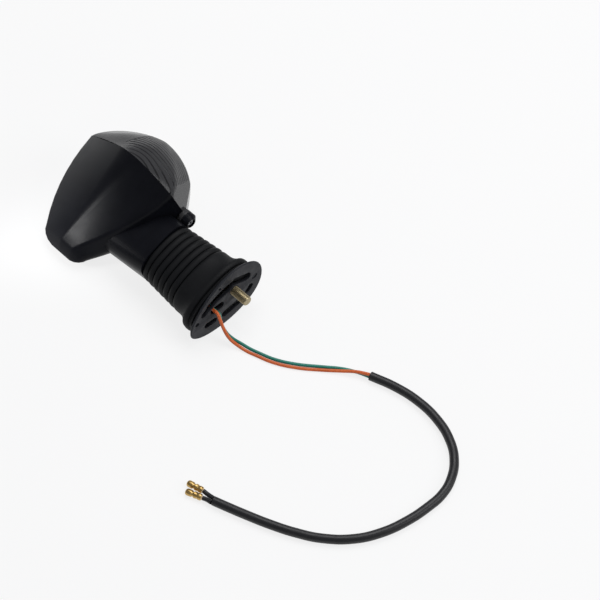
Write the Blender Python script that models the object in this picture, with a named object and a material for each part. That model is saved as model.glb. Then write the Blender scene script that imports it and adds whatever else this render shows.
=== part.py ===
"""Stalk-mounted turn signal indicator, lying on a table with its lead.

Frame: metres, +Z up. The origin is the middle of the mounting plate's outer face, +X points out of that face,
along the stud, and the pod lies towards -X with its lens facing +Y. The pod rests on the flat underside of its
housing, so everything but the lead is rolled about X by the slope of that underside.
"""

import math

import bmesh
import bpy
from mathutils import Matrix, Vector

MM = 0.001
GAP = 0.3 * MM
ROLL = math.radians(20.0)

# Mounting plate: an egg-shaped outline, blunter on the lens side
PLATE_HALF_LENGTH = 29.4 * MM
PLATE_HALF_HEIGHT = 19.2 * MM
PLATE_SKEW = 0.2
PLATE_THICKNESS = 2.0 * MM
PLATE_CHAMFER = 0.5 * MM
PLATE_BACK_CHAMFER = 1.2 * MM
# Slots as (start y, start z, end y, end z, width): the first five run into one long crescent under the upper rim
PLATE_SLOTS = (
    (-15.4 * MM, 8.8 * MM, -9.5 * MM, 10.4 * MM, 4.6 * MM),
    (-9.5 * MM, 10.6 * MM, -2.0 * MM, 10.9 * MM, 6.2 * MM),
    (-2.0 * MM, 10.8 * MM, 4.5 * MM, 9.8 * MM, 6.8 * MM),
    (4.5 * MM, 9.9 * MM, 11.0 * MM, 9.5 * MM, 5.2 * MM),
    (11.0 * MM, 9.3 * MM, 18.4 * MM, 2.6 * MM, 6.0 * MM),
    (14.0 * MM, -10.0 * MM, 17.0 * MM, -8.6 * MM, 4.0 * MM),
    (-4.6 * MM, -8.8 * MM, 6.0 * MM, -11.2 * MM, 5.6 * MM),
    (-17.6 * MM, -2.8 * MM, -12.6 * MM, -5.2 * MM, 4.4 * MM),
)
WIRE_SLOT = (-9.0 * MM, 3.7 * MM, -4.4 * MM, 2.0 * MM, 5.6 * MM)
# Round marks in the face as (y, z, radius, depth)
PLATE_MARKS = (
    (-22.2 * MM, 6.4 * MM, 1.6 * MM, 1.2 * MM),
    (1.1 * MM, 16.2 * MM, 0.9 * MM, 1.2 * MM),
    (22.4 * MM, -3.4 * MM, 2.2 * MM, 0.5 * MM),
)

# Stud, its backing plate and the two screws that clamp the boot's foot
STUD_Y = 7.6 * MM
STUD_Z = 2.0 * MM
STUD_RADIUS = 2.95 * MM
STUD_REACH = 11.3 * MM
STUD_CHAMFER = 0.45 * MM
STUD_HEAD_RADIUS = 5.2 * MM
STUD_HEAD_HEIGHT = 3.6 * MM
BACKING_THICKNESS = 1.5 * MM
BASE_SCREWS = (("base_screw_rear", -18.0 * MM, 3.0 * MM), ("base_screw_front", 16.0 * MM, -3.0 * MM))
BASE_SCREW_RADIUS = 1.3 * MM
BASE_SCREW_HEAD_RADIUS = 2.6 * MM
BASE_SCREW_HEAD_HEIGHT = 1.7 * MM
BASE_SCREW_TIP_SKIN = 0.8 * MM

# Rubber boot, from the plate towards the pod, a little behind the plate's middle and leaning further back
STEM_Y = -0.65 * MM
STEM_LEAN = 0.0135
OVAL_POWER = 2.4
# A narrow groove behind the plate, a round-edged flange, then a flare that narrows to the ribs
GROOVE_LENGTH = 3.2 * MM
GROOVE_DEPTH = 1.6 * MM
FLANGE_LENGTH = 3.9 * MM
FLANGE_HALF_Y = 26.3 * MM
FLANGE_HALF_Z = 16.2 * MM
FLANGE_ROUND = 1.4 * MM
FLARE_LENGTH = 12.4 * MM
FLARE_GROWTH_Y = 3.8 * MM
FLARE_GROWTH_Z = 0.9 * MM
FLARE_CURVE = 4.0
FLARE_STEPS = 6
RIB_COUNT = 6
RIB_PITCH = 4.75 * MM
RIB_DEPTH = 2.0 * MM
# Across one rib, as (share of the pitch, share of the depth): a groove, then a round crest
RIB_SHAPE = ((0.14, 0.9), (0.3, 1.0), (0.46, 0.3), (0.64, 0.0), (0.82, 0.1))
RIB_HALF_Y = 22.2 * MM
RIB_HALF_Z = 14.9 * MM
RIB_TAPER_Y = 2.5 * MM
RIB_TAPER_Z = 0.8 * MM
BOOT_WALL = 2.2 * MM
FOOT_LIP = 3.0 * MM
FOOT_OPENING_HALF_Y = 14.4 * MM
FOOT_OPENING_HALF_Z = 8.8 * MM
FOOT_POCKET_DEPTH = 8.0 * MM
SPIGOT_LENGTH = 8.8 * MM
RETAINER_WALL = 1.2 * MM
RETAINER_LENGTH = 7.0 * MM

# Neck of the housing
NECK_HALF_Y = 19.4 * MM
NECK_HALF_Z = 15.0 * MM
NECK_WALL = 3.0 * MM
NECK_LENGTH = 10.6 * MM
# Deep in the pod the neck is flatter, and reaches further back
NECK_ROOT_DEPTH = 24.4 * MM
NECK_ROOT_HALF_Z = 9.6 * MM
NECK_ROOT_GROWTH = 2.0 * MM
NECK_POWER = 3.2
# The bore behind the neck clears the bulb holder, with room for its tab at the sides
LEAD_BORE_CLEARANCE_Y = 6.5 * MM
LEAD_BORE_CLEARANCE_Z = 1.5 * MM

# Pod of the housing: sections at steady depth behind the lens seam
POD_WIDTH = 86.2 * MM
POD_WALL = 2.4 * MM
SEAM_Y = 27.3 * MM
SEAM_BOW = 3.4 * MM
NOSE_EDGE_Y = -35.4 * MM
TIP_SWEEP = 18.2 * MM
FOLD_FROM_TIP = 41.0 * MM
FOLD_SWEEP = 8.4 * MM
CREASE_SWEEP = 34.0 * MM
CREASE_CURVE = 1.4
CREASE_DROP = 8.0 * MM
# The underside rises more towards the stem
LOWER_CREASE_DROP = 12.4 * MM
LOWER_CREASE_SETBACK = 3.0 * MM
WALL_LEAN = 8.0 * MM
WALL_BOW = 2.0 * MM
TIP_ROUND = 2.0 * MM
FOLD_ROUND_RIM = 34.0 * MM
FOLD_ROUND_NOSE = 5.0 * MM
CREASE_ROUND = 4.0 * MM
WALL_ROUND = 8.0 * MM
CORNER_STEPS = 4
POD_STATIONS = 7
# The blunt nose, as (depth past the nose edge, share of width, share of height)
NOSE_STEPS = (
    (2.0 * MM, 0.95, 0.82),
    (4.2 * MM, 0.83, 0.56),
    (5.9 * MM, 0.66, 0.32),
    (6.8 * MM, 0.45, 0.14),
)

# Lens
LENS_HEIGHT = 22.8 * MM
LENS_WALL = 2.4 * MM
LENS_EDGE = 0.3 * MM
LENS_FULLNESS = 0.7
LENS_PINCH = 0.45
LENS_SKEW = 0.18
LENS_TONGUE = 0.8 * MM
LENS_TONGUE_WIDTH = 2.0 * MM
LENS_STEPS = 9
LENS_POINTS = 60
# The flat inboard end: where it meets the seam, and how far it leans
FACET_RISE = 0.2 * MM
FACET_SLOPE = 1.4
# Its lower part leans back more
FACET_LOW_Z = -2.0 * MM
FACET_LOW_LEAN = 0.55

# Lens screw, in line with the stem
SCREW_Y = 22.0 * MM
BOSS_RADIUS = 5.2 * MM
BOSS_END = 2.0 * MM
BOSS_LENGTH = 4.2 * MM
BOSS_CHAMFER = 2.0 * MM
BOSS_WEB_HALF = 3.4 * MM
LENS_SCREW_RADIUS = 1.5 * MM
LENS_SCREW_HEAD_RADIUS = 2.4 * MM
LENS_SCREW_HEAD_HEIGHT = 1.9 * MM
LENS_SCREW_SINK = 1.0 * MM
EAR_WEB_HALF = 3.0 * MM
EAR_WEB_REACH = 2.6 * MM

# Reflector and gasket inside the seam
GASKET_HEIGHT = 1.2 * MM
REFLECTOR_WALL = 1.5 * MM
REFLECTOR_FLOOR_Y = -10.0 * MM
REFLECTOR_FLOOR_INSET = 9.0 * MM

# Bulb and holder, turned about an axis along X
BULB_Y = 4.0 * MM
HOLDER_SETBACK = 6.5 * MM
HOLDER_LENGTH = 20.0 * MM
HOLDER_RADIUS = 8.9 * MM
HOLDER_WALL = 1.0 * MM
HOLDER_SLOT_WIDTH = 2.6 * MM
HOLDER_SLOT_LENGTH = 7.0 * MM
HOLDER_BASE_HEIGHT = 2.5 * MM
HOLDER_BASE_PLUG = 2.0 * MM
GROMMET_WALL = 1.7 * MM
GROMMET_LENGTH = 6.0 * MM
SPRING_RADIUS = 4.4 * MM
SPRING_WIRE_RADIUS = 0.4 * MM
SPRING_SPAN = 4.2 * MM
SPRING_CURLS = 3
SPRING_POINTS_A_CURL = 9
PLUNGER_CLEARANCE = 0.6 * MM
PLUNGER_HEIGHT = 2.0 * MM
CONTACT_RADIUS = 2.6 * MM
CONTACT_HEIGHT = 1.4 * MM
CAP_CLEARANCE = 0.4 * MM
CAP_WALL = 0.8 * MM
CAP_LENGTH = 16.0 * MM
PIN_RADIUS = 1.0 * MM
PIN_SETBACK = 6.0 * MM
GLASS_RADIUS = 9.0 * MM
GLASS_WALL = 0.8 * MM
GLASS_NECK_IN_CAP = 4.0 * MM
GLASS_NECK_LENGTH = 7.2 * MM
STEM_DISC = 1.5 * MM
STEM_RADIUS = 1.6 * MM
STEM_LENGTH = 5.5 * MM
FILAMENT_RADIUS = 0.3 * MM
FILAMENT_HALF_SPAN = 2.6 * MM
FILAMENT_HEIGHT = 7.0 * MM
TAB_LENGTH = 5.0 * MM
TAB_WIDTH = 4.0 * MM
TAB_THICKNESS = 0.6 * MM
TURN_STEPS = 20

# Lead
WIRE_RADIUS = 1.0 * MM
LOOM_RADIUS = 2.7 * MM
TAIL_RADIUS = 1.3 * MM
BULLET_RADIUS = 2.0 * MM
BULLET_NECK_RADIUS = 1.5 * MM
ORANGE_EXIT = (-9.3 * MM, 4.9 * MM)
GREEN_EXIT = (-8.6 * MM, 2.6 * MM)
# Points along the table as (x, y, height of the middle of the cord above the table)
ORANGE_ROUTE = (
    (6.0, -10.6, 16.6),
    (9.8, -11.0, 10.6),
    (13.6, -10.4, 5.6),
    (18.4, -8.8, 2.4),
    (24.4, -7.2, 1.05),
    (30.4, -5.4, 1.05),
    (40.5, -1.9, 1.05),
    (52.2, 4.9, 1.05),
    (64.7, 15.2, 1.05),
    (73.0, 22.0, 2.0),
    (80.4, 27.4, 3.4),
)
GREEN_ROUTE = (
    (5.0, -9.6, 14.7),
    (8.8, -9.9, 8.8),
    (12.8, -8.4, 4.2),
    (18.6, -6.0, 1.6),
    (24.2, -4.7, 1.05),
    (30.2, -2.95, 1.05),
    (39.8, 0.45, 1.05),
    (50.7, 6.9, 1.05),
    (63.2, 17.0, 1.05),
    (71.4, 23.7, 1.05),
    (79.2, 28.2, 1.15),
)
LOOM_ROUTE = (
    (87.4, 31.2, 2.75),
    (102.4, 35.9, 2.75),
    (118.0, 38.2, 2.75),
    (134.8, 37.0, 2.75),
    (149.3, 32.1, 2.75),
    (160.0, 24.5, 2.75),
    (167.4, 14.3, 2.75),
    (171.0, 3.4, 2.75),
    (171.2, -8.8, 2.75),
    (169.4, -23.0, 2.75),
    (165.0, -38.0, 2.75),
    (157.4, -51.6, 2.75),
    (145.0, -64.0, 2.75),
    (132.3, -72.0, 2.75),
    (118.8, -78.4, 2.75),
    (104.0, -84.2, 2.75),
    (93.4, -88.0, 2.75),
    (86.4, -90.4, 2.75),
)
PAIR_LIFT = 1.15
TAIL_SPREAD = 1.45
ORANGE_TAIL_ROUTE = ((81.0, -89.6, 2.1), (77.6, -89.8, 2.05))
GREEN_TAIL_ROUTE = ((82.6, -92.4, 2.1), (80.6, -93.2, 2.05))
ORANGE_BULLET_TIP = (67.2, -92.6, 2.05)
GREEN_BULLET_TIP = (70.6, -97.0, 2.05)
POINT_STEP = 2.5

# Where the stalk bends and the bulb slides
SWAY_X = -22.0 * MM
DIP_X = -40.0 * MM

# Places along the stem, worked out from the lengths above
BOOT_FOOT_X = -PLATE_THICKNESS - GAP
FLARE_X = BOOT_FOOT_X - GROOVE_LENGTH - FLANGE_LENGTH
RIBS_X = FLARE_X - FLARE_LENGTH
BOOT_HEAD_X = RIBS_X - RIB_COUNT * RIB_PITCH
NECK_END_X = BOOT_HEAD_X - GAP
RIM_X = NECK_END_X - NECK_LENGTH
TIP_X = RIM_X - POD_WIDTH
FOLD_X = TIP_X + FOLD_FROM_TIP
POD_MID_X = (RIM_X + TIP_X) / 2
NECK_BORE_Y = NECK_HALF_Y - NECK_WALL
NECK_BORE_Z = NECK_HALF_Z - NECK_WALL
SPIGOT_HALF_Y = NECK_BORE_Y - GAP
SPIGOT_HALF_Z = NECK_BORE_Z - GAP
SPIGOT_BORE_Y = SPIGOT_HALF_Y - BOOT_WALL
SPIGOT_BORE_Z = SPIGOT_HALF_Z - BOOT_WALL
RIB_BORE_Y = RIB_HALF_Y - RIB_TAPER_Y - RIB_DEPTH - BOOT_WALL
RIB_BORE_Z = RIB_HALF_Z - RIB_TAPER_Z - RIB_DEPTH - BOOT_WALL
BACKING_X = BOOT_FOOT_X - FOOT_LIP - GAP
BACKING_BACK_X = BACKING_X - BACKING_THICKNESS
POCKET_HALF_Y = FLANGE_HALF_Y - 2 * BOOT_WALL
POCKET_HALF_Z = FLANGE_HALF_Z - 2 * BOOT_WALL
EAR_X = RIM_X + WALL_BOW - POD_WALL / 2
BOSS_FRONT_X = NECK_END_X - BOSS_END
BOSS_X = BOSS_FRONT_X - BOSS_LENGTH
HOLDER_X = RIM_X - HOLDER_SETBACK
PLUNGER_X = HOLDER_X - HOLDER_BASE_PLUG - SPRING_SPAN - 2 * (SPRING_WIRE_RADIUS + GAP)
CONTACT_X = PLUNGER_X - PLUNGER_HEIGHT - GAP
CAP_X = CONTACT_X - CONTACT_HEIGHT
GLASS_X = CAP_X - CAP_LENGTH + GLASS_NECK_IN_CAP
HOLDER_BORE = HOLDER_RADIUS - HOLDER_WALL
PLUNGER_RADIUS = HOLDER_BORE - PLUNGER_CLEARANCE
CAP_RADIUS = HOLDER_BORE - CAP_CLEARANCE
PIN_REACH = HOLDER_RADIUS - GAP
GLASS_MID_X = GLASS_X - GLASS_NECK_LENGTH - math.sqrt(
    GLASS_RADIUS**2 - (CAP_RADIUS - CAP_WALL - GAP) ** 2
)
GROMMET_RADIUS = HOLDER_RADIUS + GAP + GROMMET_WALL


def plate_outline(inset, count=48):
    """(y, z) points of the plate's egg outline."""
    points = []
    for step in range(count):
        turn = 2 * math.pi * step / count
        y = (PLATE_HALF_LENGTH - inset) * math.cos(turn)
        z = (PLATE_HALF_HEIGHT - inset) * math.sin(turn) * (1 + PLATE_SKEW * math.cos(turn))
        points.append((y, z))
    return points


def height_above_table(y, z):
    """World height of a point of the rolled part, measured from the stem's axis."""
    return y * math.sin(ROLL) + z * math.cos(ROLL)


# The plate's lowest edge sets how high the stem's axis lies above the table
REST = -min(height_above_table(y, z) for y, z in plate_outline(0.0))


def clear_scene():
    for obj in list(bpy.data.objects):
        bpy.data.objects.remove(obj, do_unlink=True)


def finish(name, hex_colour, roughness, metallic=0.0, alpha=1.0):
    """A Principled material of one sRGB colour."""
    made = bpy.data.materials.new(name)
    made.use_nodes = True
    shader = made.node_tree.nodes["Principled BSDF"]
    channels = []
    for start in (0, 2, 4):
        value = int(hex_colour[start : start + 2], 16) / 255
        channels.append(value / 12.92 if value <= 0.04045 else ((value + 0.055) / 1.055) ** 2.4)
    shader.inputs["Base Color"].default_value = (*channels, 1.0)
    shader.inputs["Roughness"].default_value = roughness
    shader.inputs["Metallic"].default_value = metallic
    shader.inputs["Alpha"].default_value = alpha
    return made


def pivot(name, place, parent=None):
    """An empty that carries the pieces of one body."""
    empty = bpy.data.objects.new(name, None)
    bpy.context.scene.collection.objects.link(empty)
    empty.location = place
    empty.parent = parent
    return empty


def add_object(name, data, material, carrier=None, place=(0.0, 0.0, 0.0)):
    """Links an object whose data is in the stem's frame, carried by an empty at its own place."""
    obj = bpy.data.objects.new(name, data)
    bpy.context.scene.collection.objects.link(obj)
    if material:
        data.materials.append(material)
    obj.location = place
    if carrier:
        obj.parent = carrier
        if carrier.parent:
            obj.location = Vector(place) - carrier.location
            above = carrier.parent
            while above.parent:
                obj.location = obj.location - above.location
                above = above.parent
    return obj


def mesh_of(name, work):
    bmesh.ops.remove_doubles(work, verts=work.verts, dist=0.002 * MM)
    bmesh.ops.recalc_face_normals(work, faces=work.faces)
    mesh = bpy.data.meshes.new(name)
    work.to_mesh(mesh)
    work.free()
    mesh.shade_smooth()
    mesh.set_sharp_from_angle(angle=math.radians(35))
    return mesh


def loft(name, rings, closed=False):
    """A mesh through rings of equal count: capped at both ends, or closed round on itself."""
    work = bmesh.new()
    rows = [[work.verts.new(point) for point in ring] for ring in rings]
    pairs = list(zip(rows, rows[1:]))
    if closed:
        pairs.append((rows[-1], rows[0]))
    for first, second in pairs:
        count = len(first)
        for step in range(count):
            after = (step + 1) % count
            work.faces.new((first[step], first[after], second[after], second[step]))
    if not closed:
        work.faces.new(rows[0])
        work.faces.new(rows[-1])
    return mesh_of(name, work)


def turned(name, chain, closed=False, steps=TURN_STEPS):
    """A mesh spun about X from (x, radius) points: a closed chain gives a ring."""
    work = bmesh.new()
    points = [work.verts.new((x, radius, 0.0)) for x, radius in chain]
    ends = list(zip(points, points[1:]))
    if closed:
        ends.append((points[-1], points[0]))
    edges = [work.edges.new(pair) for pair in ends]
    bmesh.ops.spin(
        work,
        geom=points + edges,
        cent=(0, 0, 0),
        axis=(1, 0, 0),
        angle=2 * math.pi,
        steps=steps,
        use_merge=True,
    )
    return mesh_of(name, work)


def box_mesh(name, low, high):
    work = bmesh.new()
    bmesh.ops.create_cube(work, size=1.0)
    for vert in work.verts:
        for axis in range(3):
            vert.co[axis] = low[axis] if vert.co[axis] < 0 else high[axis]
    return mesh_of(name, work)


def boolean(target, other, operation):
    """Cuts or joins another object, which then stays as a helper."""
    modifier = target.modifiers.new(f"{operation.lower()} {other.name}", "BOOLEAN")
    modifier.operation = operation
    modifier.object = other
    other.hide_render = True
    other.display_type = "WIRE"


def oval(x, half_y, half_z, count=36, power=OVAL_POWER):
    """A ring across the stem: a superellipse."""
    ring = []
    for step in range(count):
        turn = 2 * math.pi * step / count
        across, up = math.cos(turn), math.sin(turn)
        y = half_y * math.copysign(abs(across) ** (2 / power), across)
        z = half_z * math.copysign(abs(up) ** (2 / power), up)
        ring.append((x, y + STEM_Y + STEM_LEAN * x, z))
    return ring


def capsule_rings(slot, x_low, x_high, count=16):
    """Two rings of a round-ended slot, for a cutter along X."""
    start = Vector(slot[0:2])
    end = Vector(slot[2:4])
    along = (end - start).angle_signed(Vector((1, 0)))
    rings = []
    for x in (x_low, x_high):
        ring = []
        for step in range(count):
            turn = 2 * math.pi * (step + 0.5) / count
            middle = end if math.cos(turn) > 0 else start
            y = middle.x + slot[4] / 2 * math.cos(turn + along)
            z = middle.y + slot[4] / 2 * math.sin(turn + along)
            ring.append((x, y, z))
        rings.append(ring)
    return rings


def rounded(corners, radii, steps=CORNER_STEPS):
    """A convex outline whose corners are arcs, starting from the middle of the first arc."""
    points = []
    count = len(corners)
    for index, radius in enumerate(radii):
        corner = Vector(corners[index])
        before = Vector(corners[index - 1]) - corner
        after = Vector(corners[(index + 1) % count]) - corner
        half_angle = before.angle(after) / 2
        reach = radius / math.tan(half_angle)
        reach = min(reach, 0.45 * before.length, 0.45 * after.length)
        start = corner + before.normalized() * reach
        end = corner + after.normalized() * reach
        centre = corner + (before.normalized() + after.normalized()).normalized() * reach / math.cos(half_angle)
        sweep = (start - centre).angle_signed(end - centre)
        for step in range(steps + 1):
            turn = Matrix.Rotation(-sweep * step / steps, 2)
            points.append(centre + turn @ (start - centre))
    middle = steps // 2
    return points[middle:] + points[:middle]


def shrunk(corners, distance):
    """A convex outline's corners, moved in so that each side moves by the distance."""
    count = len(corners)
    middle = sum((Vector(c) for c in corners), Vector((0, 0))) / count
    sides = []
    for index in range(count):
        first = Vector(corners[index])
        along = (Vector(corners[(index + 1) % count]) - first).normalized()
        inward = Vector((-along.y, along.x))
        if inward.dot(middle - first) < 0:
            inward = -inward
        sides.append((first + inward * distance, along))
    moved = []
    for index in range(count):
        base, along = sides[index - 1]
        other, across = sides[index]
        turn = along.x * across.y - along.y * across.x
        apart = other - base
        moved.append(base + along * ((apart.x * across.y - apart.y * across.x) / turn))
    return moved


def seam_depth(x):
    """Y of the seam between housing and lens, bowed along the pod."""
    return SEAM_Y - SEAM_BOW * ((x - POD_MID_X) / (POD_WIDTH / 2)) ** 2


def facet_height(y):
    """Height of the flat upper and lower faces, which slope so that the pod lies on one of them."""
    return REST / math.cos(ROLL) + y * math.tan(ROLL)


def pod_section(y, inset=0.0):
    """(x, z) outline of the pod at one depth behind the lens."""
    share = max(0.0, (SEAM_Y - y) / (SEAM_Y - NOSE_EDGE_Y))
    tip = TIP_X + TIP_SWEEP * share**2.2
    crease = RIM_X - CREASE_SWEEP * share**CREASE_CURVE
    wall = crease + WALL_BOW + WALL_LEAN * share
    fold = FOLD_X + FOLD_SWEEP * (1 - share)
    top = facet_height(y)
    rim_share = max(0.0, 1 - share)
    corners = [
        (tip, 0.0),
        (fold, top),
        (crease, top - CREASE_DROP * rim_share),
        (wall, 0.0),
        (crease - LOWER_CREASE_SETBACK * rim_share, LOWER_CREASE_DROP * rim_share - top),
        (fold, -top),
    ]
    fold_round = FOLD_ROUND_RIM + (FOLD_ROUND_NOSE - FOLD_ROUND_RIM) * min(1.0, share)
    radii = [TIP_ROUND, fold_round, CREASE_ROUND, WALL_ROUND, CREASE_ROUND, fold_round]
    outline = rounded(corners, radii)
    above = top / max(z for _, z in outline)
    below = -top / min(z for _, z in outline)
    if inset:
        inner = [(x, z * (above if z > 0 else below)) for x, z in corners]
        inner_radii = [max(radius - inset, 0.5 * MM) for radius in radii]
        return rounded(shrunk(inner, inset), inner_radii)
    return [(x, z * (above if z > 0 else below)) for x, z in outline]


def pod_ring(y, inset=0.0):
    return [(x, y, z) for x, z in pod_section(y, inset)]


def seam_ring(inset, rise):
    """A ring that follows the bowed seam."""
    return [(x, seam_depth(x) + rise, z) for x, z in pod_section(SEAM_Y, inset)]


def pod_depths(last):
    first = SEAM_Y - SEAM_BOW - 2 * MM
    return [first + (last - first) * step / POD_STATIONS for step in range(POD_STATIONS + 1)]


def pod_shell_rings():
    """From the outside of the nose to the rim and back inside."""
    outside = [seam_ring(0.0, 0.0)]
    outside += [pod_ring(y) for y in pod_depths(NOSE_EDGE_Y)]
    edge = pod_section(NOSE_EDGE_Y)
    nose_x = sum(x for x, _ in edge) / len(edge)
    for depth, wide, high in NOSE_STEPS:
        ring = [(nose_x + (x - nose_x) * wide, NOSE_EDGE_Y - depth, z * high) for x, z in edge]
        outside.append(ring)
    inside = [seam_ring(POD_WALL, 0.0)]
    inside += [pod_ring(y, POD_WALL) for y in pod_depths(NOSE_EDGE_Y + POD_WALL)]
    return outside[::-1] + inside


def pod_core_rings(inset):
    """A solid of the pod drawn in by a distance, for trimming what enters it."""
    depths = [SEAM_Y + 2 * MM] + pod_depths(NOSE_EDGE_Y + inset)
    return [pod_ring(y, inset) for y in depths]


def cylinder_along_x(name, radius, x_low, x_high, steps=TURN_STEPS):
    return turned(name, [(x_low, 0.0), (x_low, radius), (x_high, radius), (x_high, 0.0)], steps=steps)


def make_housing(material, head):
    housing = add_object("housing", loft("housing", pod_shell_rings()), material, head)
    root_x = RIM_X - NECK_ROOT_DEPTH
    root = oval(root_x, NECK_HALF_Y + NECK_ROOT_GROWTH / 2, NECK_ROOT_HALF_Z, power=NECK_POWER)
    root = [(x, y - NECK_ROOT_GROWTH / 2, z) for x, y, z in root]
    neck_rings = [root, oval(NECK_END_X, NECK_HALF_Y, NECK_HALF_Z, power=NECK_POWER)]
    neck = add_object("neck_blank", loft("neck_blank", neck_rings), None, head)
    core = add_object("pod_core", loft("pod_core", pod_core_rings(POD_WALL / 2)), None, head)
    boolean(neck, core, "DIFFERENCE")
    boss_chain = [
        (BOSS_X - MM, 0.0),
        (BOSS_X - MM, BOSS_RADIUS),
        (BOSS_FRONT_X - BOSS_CHAMFER, BOSS_RADIUS),
        (BOSS_FRONT_X, BOSS_RADIUS - BOSS_CHAMFER),
        (BOSS_FRONT_X, 0.0),
    ]
    boss = add_object("boss_blank", turned("boss_blank", boss_chain), None, head, (0.0, SCREW_Y, 0.0))
    web_low = (BOSS_X, NECK_HALF_Y / 2, -BOSS_WEB_HALF)
    web_high = (BOSS_FRONT_X - BOSS_CHAMFER, SCREW_Y, BOSS_WEB_HALF)
    web = add_object("boss_web", box_mesh("boss_web", web_low, web_high), None, head)
    step_x = BOOT_HEAD_X - SPIGOT_LENGTH - GAP
    lead_bore_y = HOLDER_RADIUS + LEAD_BORE_CLEARANCE_Y
    lead_bore_z = HOLDER_RADIUS + LEAD_BORE_CLEARANCE_Z
    bore_rings = [oval(x, lead_bore_y, lead_bore_z) for x in (root_x, step_x)]
    bore_rings += [oval(x, NECK_BORE_Y, NECK_BORE_Z) for x in (step_x, NECK_END_X + GAP)]
    bore = add_object("neck_bore", loft("neck_bore", bore_rings), None, head)
    sink_x = BOSS_FRONT_X - LENS_SCREW_SINK - LENS_SCREW_HEAD_HEIGHT - GAP
    hole_chain = [
        (EAR_X - GAP, 0.0),
        (EAR_X - GAP, BOSS_RADIUS + GAP),
        (BOSS_X, BOSS_RADIUS + GAP),
        (BOSS_X, LENS_SCREW_RADIUS + GAP),
        (sink_x, LENS_SCREW_RADIUS + GAP),
        (sink_x, LENS_SCREW_HEAD_RADIUS + GAP),
        (NECK_END_X + MM, LENS_SCREW_HEAD_RADIUS + GAP),
        (NECK_END_X + MM, 0.0),
    ]
    hole = add_object("ear_pocket", turned("ear_pocket", hole_chain, steps=18), None, head, (0.0, SCREW_Y, 0.0))
    boolean(housing, neck, "UNION")
    boolean(housing, web, "UNION")
    boolean(housing, boss, "UNION")
    boolean(housing, hole, "DIFFERENCE")
    boolean(housing, bore, "DIFFERENCE")
    return housing


def polar(outline, count):
    """Distances from the pod's middle to a convex outline, at even turns."""
    reaches = []
    for step in range(count):
        turn = 2 * math.pi * step / count
        ray = Vector((math.cos(turn), math.sin(turn)))
        for first, second in zip(outline, outline[1:] + outline[:1]):
            start = Vector(first) - Vector((POD_MID_X, 0))
            side = Vector(second) - Vector(first)
            turn_of = ray.x * side.y - ray.y * side.x
            if abs(turn_of) < 1e-12:
                continue
            reach = (start.x * side.y - start.y * side.x) / turn_of
            along = (start.x * ray.y - start.y * ray.x) / turn_of
            if reach > 0 and -1e-9 <= along <= 1 + 1e-9:
                reaches.append((ray, reach))
                break
    return reaches


def seat_outline(drop, inset):
    """The room inside the housing at a depth below the seam's lowest point."""
    return polar(pod_section(SEAM_Y - SEAM_BOW - drop, POD_WALL + GAP + inset), LENS_POINTS)


def lens_ring(reaches, share, height, low_edge):
    """One ring of the dome, rounder and higher as its share of the outline falls."""
    longest = max(abs(reach * ray.x) for ray, reach in reaches)
    tallest = max(abs(reach * ray.y) for ray, reach in reaches)
    ring = []
    for ray, reach in reaches:
        round_reach = 1 / math.hypot(ray.x / longest, ray.y / tallest)
        drawn = share * (reach * share + round_reach * (1 - share))
        x = POD_MID_X + ray.x * drawn
        base = seam_depth(POD_MID_X + ray.x * reach) + low_edge
        rise = height * (1 - share**2) ** (LENS_FULLNESS + LENS_PINCH * ray.y**2)
        rise *= 1 + LENS_SKEW * ray.x * share
        y = base * share + (SEAM_Y + low_edge) * (1 - share) + rise
        ring.append((x, y, ray.y * drawn))
    return ring


def flattened(ring, offset):
    """Points beyond the lens's flat inboard end, brought down onto it."""
    edge_y = seam_depth(RIM_X) + FACET_RISE
    brought = []
    for x, y, z in ring:
        limit = edge_y - offset * math.hypot(1, FACET_SLOPE) + (RIM_X - x) * FACET_SLOPE
        limit += FACET_LOW_LEAN * min(0.0, z - FACET_LOW_Z)
        brought.append((x, min(y, max(limit, seam_depth(x) + LENS_EDGE)), z))
    return brought


def make_lens(material, head):
    shares = [1.0] + [math.cos(math.pi / 2 * step / LENS_STEPS) for step in range(1, LENS_STEPS)] + [0.03]
    outer = polar(pod_section(SEAM_Y, LENS_EDGE), LENS_POINTS)
    tongue_out = seat_outline(LENS_TONGUE, 0.0)
    inner = seat_outline(LENS_TONGUE, LENS_TONGUE_WIDTH)
    rings = [flattened(lens_ring(outer, share, LENS_HEIGHT, LENS_EDGE), 0.0) for share in shares[::-1]]
    rings.append(lens_ring(tongue_out, 1.0, 0.0, LENS_EDGE))
    rings.append(lens_ring(tongue_out, 1.0, 0.0, -LENS_TONGUE))
    rings.append(lens_ring(inner, 1.0, 0.0, -LENS_TONGUE))
    hollow = LENS_HEIGHT - LENS_WALL
    rings += [flattened(lens_ring(inner, share, hollow, LENS_EDGE), LENS_WALL) for share in shares]
    lens = add_object("lens", loft("lens", rings), material, head)
    ear_mesh = cylinder_along_x("ear_blank", BOSS_RADIUS, EAR_X, BOSS_X - GAP)
    ear = add_object("ear_blank", ear_mesh, None, head, (0.0, SCREW_Y, 0.0))
    web_low = (RIM_X - POD_WALL, seam_depth(RIM_X) + 2 * LENS_EDGE, -EAR_WEB_HALF)
    web_high = (BOSS_X - GAP, seam_depth(RIM_X) + EAR_WEB_REACH, EAR_WEB_HALF)
    web = add_object("ear_web", box_mesh("ear_web", web_low, web_high), None, head)
    hole_mesh = cylinder_along_x("ear_hole", LENS_SCREW_RADIUS + GAP, EAR_X - GAP, NECK_END_X)
    hole = add_object("ear_hole", hole_mesh, None, head, (0.0, SCREW_Y, 0.0))
    boolean(lens, web, "UNION")
    boolean(lens, ear, "UNION")
    boolean(lens, hole, "DIFFERENCE")
    return lens


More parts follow.
